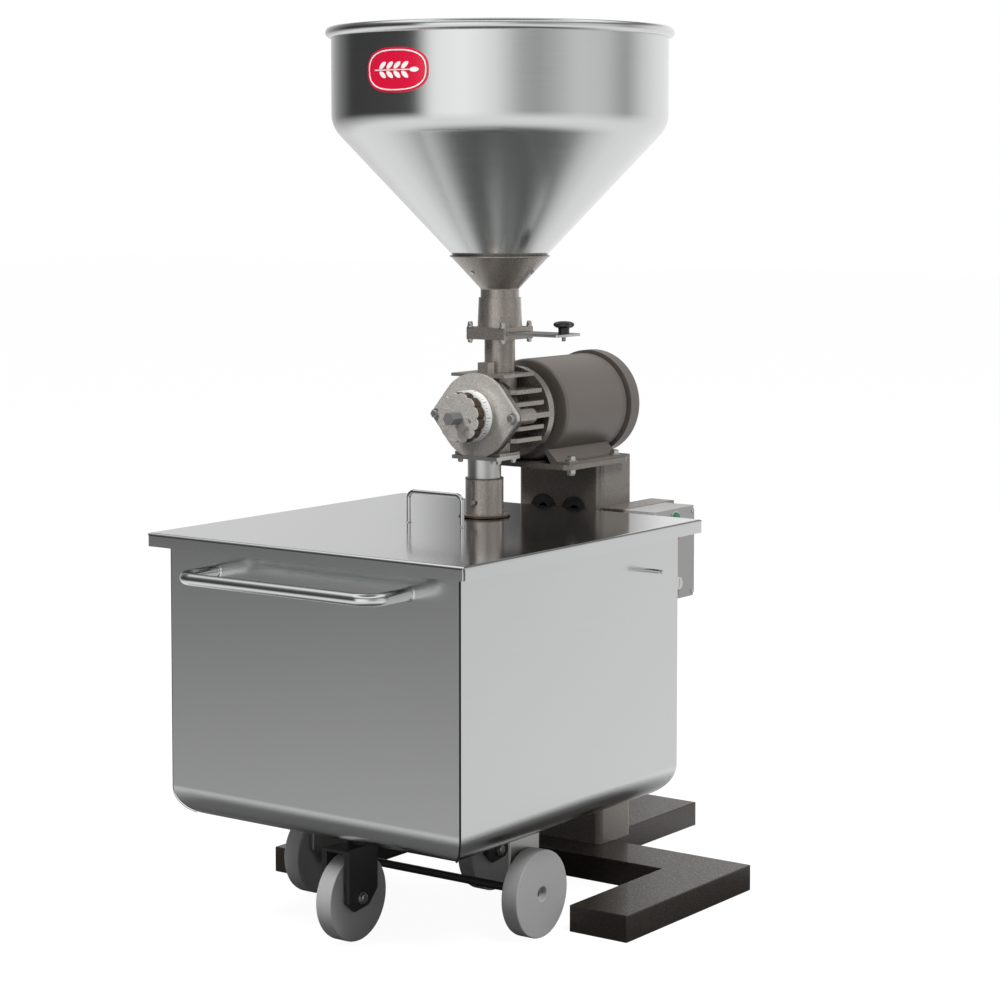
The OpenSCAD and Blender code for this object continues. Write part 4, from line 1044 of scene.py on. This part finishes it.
def make_sleeve_trim():
    """Dark brown bands round the sleeve's top lip and its flange's rim, and the tube's locking pin, whose
    head stands clear of the sleeve.
    """
    low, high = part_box("outlet_sleeve")
    flange_r = (high.x - low.x) / 2
    sleeve_r = 0.0365
    y = (low.y + high.y) / 2
    top = [(sleeve_r - 0.001, high.z - 0.0022), (sleeve_r + 0.0003, high.z - 0.0022),
           (sleeve_r + 0.0003, high.z - 0.0004), (sleeve_r - 0.001, high.z + 0.0002)]
    foot = [(flange_r - 0.0015, low.z + 0.0001), (flange_r + 0.0003, low.z + 0.0003),
            (flange_r + 0.0003, low.z + 0.0036), (flange_r - 0.0015, low.z + 0.0043)]
    parts = [lathe("sleeve_band", profile, (0, y, 0), "Z", 96) for profile in (top, foot)]
    rims = join_meshes("sleeve_brown_bands", parts)
    finish_piece("sleeve_brown_bands", rims, "sleeve", "deep_brown")
    head = [(0, 0), (0.0030, 0), (0.0048, 0.0006), (0.0052, 0.0016), (0.0052, 0.0028), (0.0030, 0.0030),
            (0.0030, 0.0075), (0, 0.0075)]
    pin = lathe("tube_pin", head, (0.001, y - sleeve_r - 0.0038, low.z + 0.0275), "Y", 40)
    finish_piece("tube_pin", pin, "stand", "dull_zinc")


make_dial()
make_scale()
make_bolts()
make_cover_gasket()
make_sleeve_trim()

# ---------------------------------------------------------------- gate knob


def make_gate_knob():
    """A six-lobed black knob on its stem, with a threaded stub under the plate."""
    centre = middle_of("gate_knob")
    low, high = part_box("gate_knob")
    plate_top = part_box("gate_plate")[1].z
    radius = 0.020

    def lobes(angle, r):
        return 1 if r < radius * 0.6 else 1 - 0.13 * (0.5 + 0.5 * math.cos(6 * angle)) * (r / radius)

    top = high.z - 0.0002
    stem = plate_top
    profile = [(0, top - 0.0015), (0.007, top - 0.0012), (0.0105, top - 0.0002), (0.015, top - 0.0012),
               (radius - 0.001, top - 0.0035), (radius, top - 0.006), (radius - 0.001, top - 0.0090),
               (0.0155, top - 0.0115), (0.0112, top - 0.0125), (0.0105, top - 0.0150), (0.0105, stem + 0.001),
               (0.0100, stem + 0.0002), (0, stem + 0.0002)]
    head = lathe("gate_knob_head", profile, (centre.x, centre.y, 0), "Z", 144, lobes)
    finish_piece("gate_knob_moulding", head, "gate", "black_plastic", ["gate_knob"])
    stub = [(0, low.z), (0.0034, low.z), (0.0042, low.z + 0.0008)]
    pitch = 0.00125
    z = low.z + 0.0008
    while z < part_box("gate_plate")[0].z - pitch:
        stub += [(0.0036, z + pitch / 2), (0.0042, z + pitch)]
        z += pitch
    stub += [(0.0042, plate_top + 0.0005), (0, plate_top + 0.0005)]
    thread = lathe("gate_knob_stud", stub, (centre.x, centre.y, 0), "Z", 32)
    finish_piece("gate_knob_stud", thread, "gate", "zinc")


make_gate_knob()

# ---------------------------------------------------------------- bin handles, seams and wheels


def make_bin_handle():
    """The bent tube on the tub's front, with a weld bead at each end."""
    low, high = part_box("bin_handle")
    radius = (high.z - low.z) / 2
    z = (low.z + high.z) / 2
    half = (high.x - low.x) / 2 - radius
    front = low.y + radius
    path = soften([(-half, high.y, z), (-half, front, z), (half, front, z), (half, high.y, z)], 0.035,
                  closed=False, steps=10)
    parts = [tube("handle_tube", path, radius, 32)]
    for s in (-1, 1):
        bead = [(radius - 0.001, 0), (radius + 0.003, 0), (radius + 0.0012, -0.0014),
                (radius + 0.0003, -0.004), (radius - 0.001, -0.005)]
        parts.append(lathe("weld_bead", bead, (s * half, high.y, z), "Y", 40))
    handle = join_meshes("bin_handle_tube", parts)
    finish_piece("bin_handle_tube", handle, "bin", "stainless_tube", ["bin_handle"])


def make_lid_handle():
    """The bent rod on the lid, with a weld bead at each foot."""
    low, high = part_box("lid_handle")
    radius = (high.y - low.y) / 2
    y = (low.y + high.y) / 2
    half = (high.x - low.x) / 2 - radius
    top = high.z - radius
    path = soften([(-half, y, low.z), (-half, y, top), (half, y, top), (half, y, low.z)], 0.013, closed=False,
                  steps=10)
    parts = [tube("handle_rod", path, radius, 24)]
    for s in (-1, 1):
        bead = [(radius - 0.0005, 0), (radius + 0.002, 0), (radius + 0.0012, 0.001), (radius - 0.0005, 0.002)]
        parts.append(lathe("weld_bead", bead, (s * half, y, low.z), "Z", 32))
    finish_piece("lid_handle_rod", join_meshes("lid_handle_rod", parts), "bin", "stainless_tube",
                 ["lid_handle"])


def make_bin_seams():
    """Thin dark lines down the tub's folded front corners and round its floor, and at a corner of the lid."""
    low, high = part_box("bin_body")
    rim = 0.020
    bend = 0.056
    parts = []
    for side, half in ((-1, 0.0006), (1, 0.0018)):
        path = [(side * (high.x - rim), low.y + rim, 0.7015)]
        for step in range(9):
            angle = math.radians(8 * step)
            inward = bend * (1 - math.cos(angle))
            path.append((side * (high.x - rim - inward), low.y + rim + inward,
                         low.z + bend * (1 - math.sin(angle))))
        parts.append(tube("seam", path, half, 12))
    lid_low, lid_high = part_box("bin_lid")
    corner = (lid_high.x - 0.0006, lid_low.y + 0.0006)
    parts.append(tube("seam", [(*corner, lid_low.z + 0.0008), (*corner, lid_high.z - 0.003)], 0.0008, 12))
    finish_piece("bin_corner_seams", join_meshes("bin_corner_seams", parts), "bin", "seam_black")


def make_wheel(node, body, axle_hole, recess):
    """A moulded wheel with a rounded tread, a shallow dished face and a raised hub."""
    low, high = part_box(node)
    centre = (low + high) / 2
    radius = (high.z - low.z) / 2
    outward = 1 if centre.x >= 0 else -1
    half = (high.x - low.x) / 2
    outer_hub = recess + 0.004
    profile = [(axle_hole, -half), (outer_hub, -half), (outer_hub + 0.002, -half + 0.0012),
               (radius - 0.012, -half + 0.0012), (radius - 0.010, -half), (radius - 0.003, -half),
               (radius - 0.0008, -half + 0.001), (radius, -half + 0.0035), (radius, half - 0.0035),
               (radius - 0.0008, half - 0.001), (radius - 0.003, half)]
    if recess > axle_hole:
        profile += [(recess + 0.001, half), (recess, half - 0.001), (recess, half - 0.012),
                    (axle_hole, half - 0.012)]
    else:
        profile += [(axle_hole, half)]
    profile = [(r, outward * h) for r, h in profile]
    mesh = lathe(node + "_moulding", profile, tuple(centre), "X", 144)
    finish_piece(node + "_moulding", mesh, body, "polyamide", [node])


make_bin_handle()
make_lid_handle()
make_bin_seams()
make_wheel("left_wheel", "wheel_left", 0.0076, 0.014)
make_wheel("right_wheel", "wheel_right", 0.0076, 0.014)
make_wheel("front_wheel", "caster_front_wheel", 0.0061, 0.0061)
make_wheel("rear_wheel", "caster_rear_wheel", 0.0061, 0.0061)


FORK_FACE_X = 0.025


def make_caster_nuts():
    """A nut on each end of the casters' axle bolts."""
    for fork, body in (("front_fork", "caster_front"), ("rear_fork", "caster_rear")):
        wheel = middle_of(fork.split("_")[0] + "_wheel")
        for side in (-1, 1):
            place = (side * FORK_FACE_X, wheel.y, wheel.z)
            name = f"{fork}_nut_{'left' if side < 0 else 'right'}"
            bolt_piece(name, [place], (0, side * math.pi / 2, 0), body, 0.0095, 0.005, 0.011)


make_caster_nuts()

# ---------------------------------------------------------------- switch box trim


def make_switch_trim():
    """Bright bezels round the two buttons."""
    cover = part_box("switch_cover")[1].x
    parts = []
    for node in ("start_button", "stop_button"):
        centre = middle_of(node)
        ring = [(0.0103, 0), (0.0145, 0), (0.0145, 0.0012), (0.0135, 0.0026), (0.0112, 0.0030),
                (0.0103, 0.0024)]
        parts.append(lathe("bezel", ring, (cover, centre.y, centre.z), "X", 64))
    finish_piece("button_bezels", join_meshes("button_bezels", parts), "stand", "zinc")


make_switch_trim()
